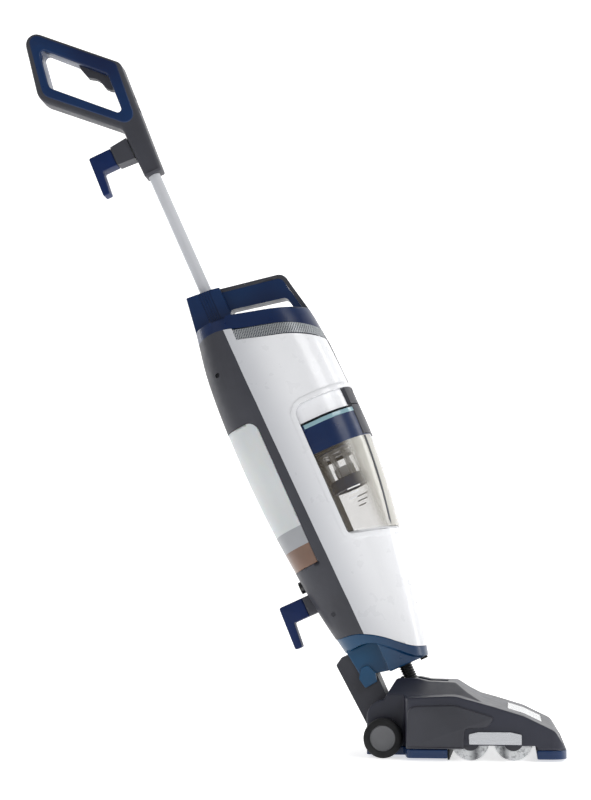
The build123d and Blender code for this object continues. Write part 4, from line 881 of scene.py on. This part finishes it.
# ------------------------------------------------------------------ foot
SLEEVE_R, SLEEVE_BORE, SLEEVE_PITCH, SLEEVE_CORNERS = 19.0, 13.2, 3, 64
STRAND_FOOT, STRAND_TIP = SLEEVE_R - 1, 26.2     # radii between which a strand stands
STRANDS, END_STRANDS = 5200, 2600
CROWDING = 1.35           # over 1 brings the strands nearer to the right end
STRAND_MARGIN = 1.5       # from a roll's ends to the first strands
STRAND_STOP = 0.3         # strands that lean over keep this far inside a roll's ends
STRAND_TURN, STRAND_DRIFT = 0.22, 3.2      # most that a strand leans round the roll and along it
# levels along a strand, and its thickness there as a share of its foot's
STRAND_LEVELS = ((0.0, 1.0), (0.5, 0.9), (0.85, 0.6))
END_LEVELS = ((0.0, 1.0), (0.55, 0.9), (1.0, 0.35))
END_REACH = 25.4          # radius that the strands over a roll's end keep inside
END_ROOT = 0.6            # how far inside the roll's end they are rooted
WHEEL_FACE = 125          # outer face of a wheel from the middle
# wheel sections: radius, and distance in from the wheel's face
TYRE = [(17.5, 0.0), (18.5, 0.0), (22.5, 0.4), (25.0, 1.4), (26.3, 3.4), (26.5, 6.0), (26.5, 18.0),
        (26.3, 20.6), (25.0, 22.8), (22.0, 24.0), (17.5, 24.0), (17.5, 0.0)]
HUB = [(0.0, 2.3), (6.0, 2.3), (14.0, 2.6), (15.6, 2.0), (16.6, 1.5), (17.4, 1.9), (17.4, 23.6),
       (5.0, 24.0), (4.1, 24.0), (4.1, 8.0), (0.0, 8.0)]
# side panels, seen from the side in the foot frame
PANEL_RIGHT = [(33, 15.5), (36, 71), (98, 73), (152, 57), (141, 43.5), (112, 42), (110, 15.5)]
PANEL_RIGHT_RADII = [2, 12, 30, 4, 5, 5, 2]
PANEL_LEFT = [(33, 15.5), (36, 71), (98, 73), (190, 52), (206, 15.5)]
PANEL_LEFT_RADII = [2, 12, 30, 14, 3]
PANEL_INNER, PANEL_OUTER, PANEL_RIM = 147.0, 153.0, 2.8
HOSE_FOOT_Z = 66.0        # lower end of the hose above the floor
HOSE_TOP = (60.0, 94.0)   # upper end of the hose, forward of the axle and up the body
HOSE_BEND_UP, HOSE_BEND_R = 22.0, 60.0     # height of the bend's corner above the lower end, and its radius
HOSE_R, HOSE_WAVE, HOSE_PITCH = 9.1, 0.85, 3.4
HOSE_CORNERS, STEPS_A_FOLD = 28, 8


def rolls():
    """Both brush rolls, each with its own pile."""
    for name in ("rear", "front"):
        low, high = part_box(f"{name}_roll_tufts")
        centre = Vector(((low.x + high.x) / 2, 0, (low.z + high.z) / 2))
        fibres(name, centre, low.y / MM, high.y / MM)


def fibres(name, centre, y_low, y_high):
    """Curved tapering strands all round a roll and over its right end, and denser towards that end."""
    draw = random.Random(len(name))
    verts, faces = sleeve(draw, y_low, y_high)
    for _ in range(STRANDS):
        share = draw.random() ** CROWDING
        y = y_low + STRAND_MARGIN + (y_high - y_low - 2 * STRAND_MARGIN) * share
        angle = draw.uniform(0, 2 * math.pi)
        add_strand(verts, faces, draw, y, angle, y_low + STRAND_STOP, y_high - STRAND_STOP)
    for _ in range(END_STRANDS):
        add_end_strand(verts, faces, draw, y_low, draw.uniform(0, 2 * math.pi))
    mesh = bpy.data.meshes.new(f"{name}_pile")
    mesh.from_pydata(verts, [], faces)
    mesh.transform(Matrix.Translation(centre) @ SCALE)
    finish_piece(f"{name}_pile", mesh, f"{name}_roll", "tufts", (f"{name}_roll_tufts",), sharp=None)


def sleeve(draw, y_low, y_high):
    """The uneven sleeve that the strands stand on, drawn in at both ends."""
    verts = []
    rows = int((y_high - y_low) / SLEEVE_PITCH)
    for row in range(rows + 1):
        y = y_low + (y_high - y_low) * row / rows
        for step in range(SLEEVE_CORNERS):
            angle = 2 * math.pi * step / SLEEVE_CORNERS
            radius = SLEEVE_R + draw.uniform(-0.8, 1.6)
            if row in (0, rows):
                radius = SLEEVE_BORE
            verts.append((radius * math.sin(angle), y, radius * math.cos(angle)))
    return verts, tube_faces(rows, SLEEVE_CORNERS)


def add_strand(verts, faces, draw, y, angle, y_low, y_high):
    """One three-sided tapering strand that bends over."""
    lean_angle = draw.uniform(-STRAND_TURN, STRAND_TURN)
    lean_y = draw.uniform(-STRAND_DRIFT, STRAND_DRIFT)
    reach = draw.uniform(0.72, 1.0) * (STRAND_TIP - STRAND_FOOT)
    thick = draw.uniform(0.45, 0.85)
    base = len(verts)
    for level, width in STRAND_LEVELS:
        radius = STRAND_FOOT + reach * level
        turn = angle + lean_angle * level ** 2
        along = min(max(y + lean_y * level ** 2, y_low), y_high)
        for corner in range(3):
            spin = 2 * math.pi * corner / 3
            r = radius + thick * width * math.cos(spin) * 0.4
            t = turn + thick * width * math.sin(spin) / radius
            y_here = min(max(along + thick * width * math.cos(spin), y_low), y_high)
            verts.append((r * math.sin(t), y_here, r * math.cos(t)))
    radius = STRAND_FOOT + reach
    turn = angle + lean_angle
    verts.append((radius * math.sin(turn), min(max(y + lean_y, y_low), y_high), radius * math.cos(turn)))
    faces.extend(tube_faces(2, 3, base))
    for corner in range(3):
        faces.append((base + 6 + corner, base + 6 + (corner + 1) % 3, base + 9))


def add_end_strand(verts, faces, draw, y_low, angle):
    """One strand over a roll's right end, which lies every way and stays inside the roll's circle."""
    start = draw.uniform(11.0, 24.5)
    heading = angle + draw.uniform(-1.5, 1.5)
    length = draw.uniform(3.0, 8.0)
    out = draw.uniform(0.2, 1.2)
    thick = draw.uniform(0.35, 0.65)
    x, z = start * math.sin(angle), start * math.cos(angle)
    across = Vector((math.cos(heading), 0.0, -math.sin(heading)))
    base = len(verts)
    for level, width in END_LEVELS:
        reach = length * level
        point = Vector((x + reach * math.sin(heading), 0.0, z + reach * math.cos(heading)))
        if point.length > END_REACH:
            point *= END_REACH / point.length
        y = y_low + END_ROOT - out * math.sin(0.5 * math.pi * (0.35 + 0.65 * level))
        for side, lift in ((-1.0, 0.0), (0.0, -1.0), (1.0, 0.0)):
            corner = point + across * side * width * thick
            verts.append((corner.x, y + lift * width * thick, corner.z))
    faces.extend(tube_faces(2, 3, base))


def wheels():
    """Tyres with a rounded tread and stepped hubs."""
    for side, name in ((-1, "right"), (1, "left")):
        body = f"{name}_wheel"
        tyre = [(radius, side * (WHEEL_FACE - depth)) for radius, depth in TYRE]
        hub = [(radius, side * (WHEEL_FACE - depth)) for radius, depth in HUB]
        lathe(f"{name}_tyre_tread", tyre, AXLE, body, "tread", (f"{name}_tyre",))
        lathe(f"{name}_hub_disc", hub, AXLE, body, "grey_shell", (f"{name}_hub",), MATERIALS["hub_grey"])


def hose_line():
    """The hose's two ends, and the lengths of its upright run, its bend and its leaning run."""
    forward, up = HOSE_TOP
    x_top = forward * math.cos(LEAN) - up * math.sin(LEAN)
    z_top = AXLE.z / MM + forward * math.sin(LEAN) + up * math.cos(LEAN)
    bend_z = HOSE_FOOT_Z + HOSE_BEND_UP
    x_foot = x_top + (z_top - bend_z) * math.tan(LEAN)
    reach = HOSE_BEND_R * math.tan(LEAN / 2)
    leaning = math.hypot(x_top - x_foot, z_top - bend_z) - reach
    return x_foot, (x_top, z_top), (HOSE_BEND_UP - reach, HOSE_BEND_R * LEAN, leaning)


def hose_point(x_foot, runs, along):
    """The middle of the hose and its lean, at a distance along it."""
    upright, bend, _ = runs
    turn = min(max(along - upright, 0.0) / HOSE_BEND_R, LEAN)
    rest = max(along - upright - bend, 0.0)
    x = x_foot - HOSE_BEND_R * (1 - math.cos(turn)) - rest * math.sin(turn)
    z = HOSE_FOOT_Z + min(along, upright) + HOSE_BEND_R * math.sin(turn) + rest * math.cos(turn)
    return x, z, turn


def hose_mesh(x_foot, runs):
    """Folded tube along the hose's line, closed at both ends."""
    length = sum(runs)
    steps = int(length / HOSE_PITCH * STEPS_A_FOLD)
    verts = []
    for step in range(steps + 1):
        along = length * step / steps
        x, z, turn = hose_point(x_foot, runs, along)
        radius = HOSE_R + HOSE_WAVE * math.cos(2 * math.pi * along / HOSE_PITCH)
        for corner in range(HOSE_CORNERS):
            angle = 2 * math.pi * corner / HOSE_CORNERS
            side = radius * math.cos(angle)
            verts.append((x + side * math.cos(turn), radius * math.sin(angle), z + side * math.sin(turn)))
    faces = tube_faces(steps, HOSE_CORNERS)
    faces += [tuple(end * HOSE_CORNERS + corner for corner in range(HOSE_CORNERS)) for end in (0, steps)]
    mesh = bpy.data.meshes.new("corrugated_hose")
    mesh.from_pydata(verts, [], faces)
    mesh.transform(IN_FOOT)
    weld(mesh, MERGE)
    return mesh


def hose():
    """Corrugated hose from the foot up into the collar, bent to the body's lean."""
    x_foot, (x_top, z_top), runs = hose_line()
    mesh = hose_mesh(x_foot, runs)
    mesh.polygons.foreach_set("use_smooth", [True] * len(mesh.polygons))
    mesh.materials.append(MATERIALS["black_plastic"])
    piece = bpy.data.objects.new("corrugated_hose", mesh)
    bpy.context.scene.collection.objects.link(piece)
    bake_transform(piece)
    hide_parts("hose")


def foot():
    """Dark cover with eased edges, blue skirt, side panels, wheels, rolls and hose."""
    cover_grey = MATERIALS["cover_grey"]
    softened("foot_top", "foot_cover", "foot", "grey_shell", voxel=1.1, passes=6, material=cover_grey)
    softened("foot_skirt", "foot_base", "foot", "blue_shell", voxel=0.9, passes=2)
    right = rounded(PANEL_RIGHT, PANEL_RIGHT_RADII)
    left = rounded(PANEL_LEFT, PANEL_LEFT_RADII)
    plate("side_bulge_right", IN_FOOT, "foot", "grey_shell", [right], -PANEL_OUTER, -PANEL_INNER, PANEL_RIM,
          ("side_cover_right",))
    plate("side_bulge_left", IN_FOOT, "foot", "grey_shell", [left], PANEL_INNER, PANEL_OUTER, PANEL_RIM,
          ("side_cover_left",))
    wheels()
    rolls()
    hose()


# ------------------------------------------------------------------ assembly
add_camera()
MATERIALS.update(make_materials())
add_studio()
dress_nodes()
handle()
cord_hooks()
shells()
tanks()
foot()
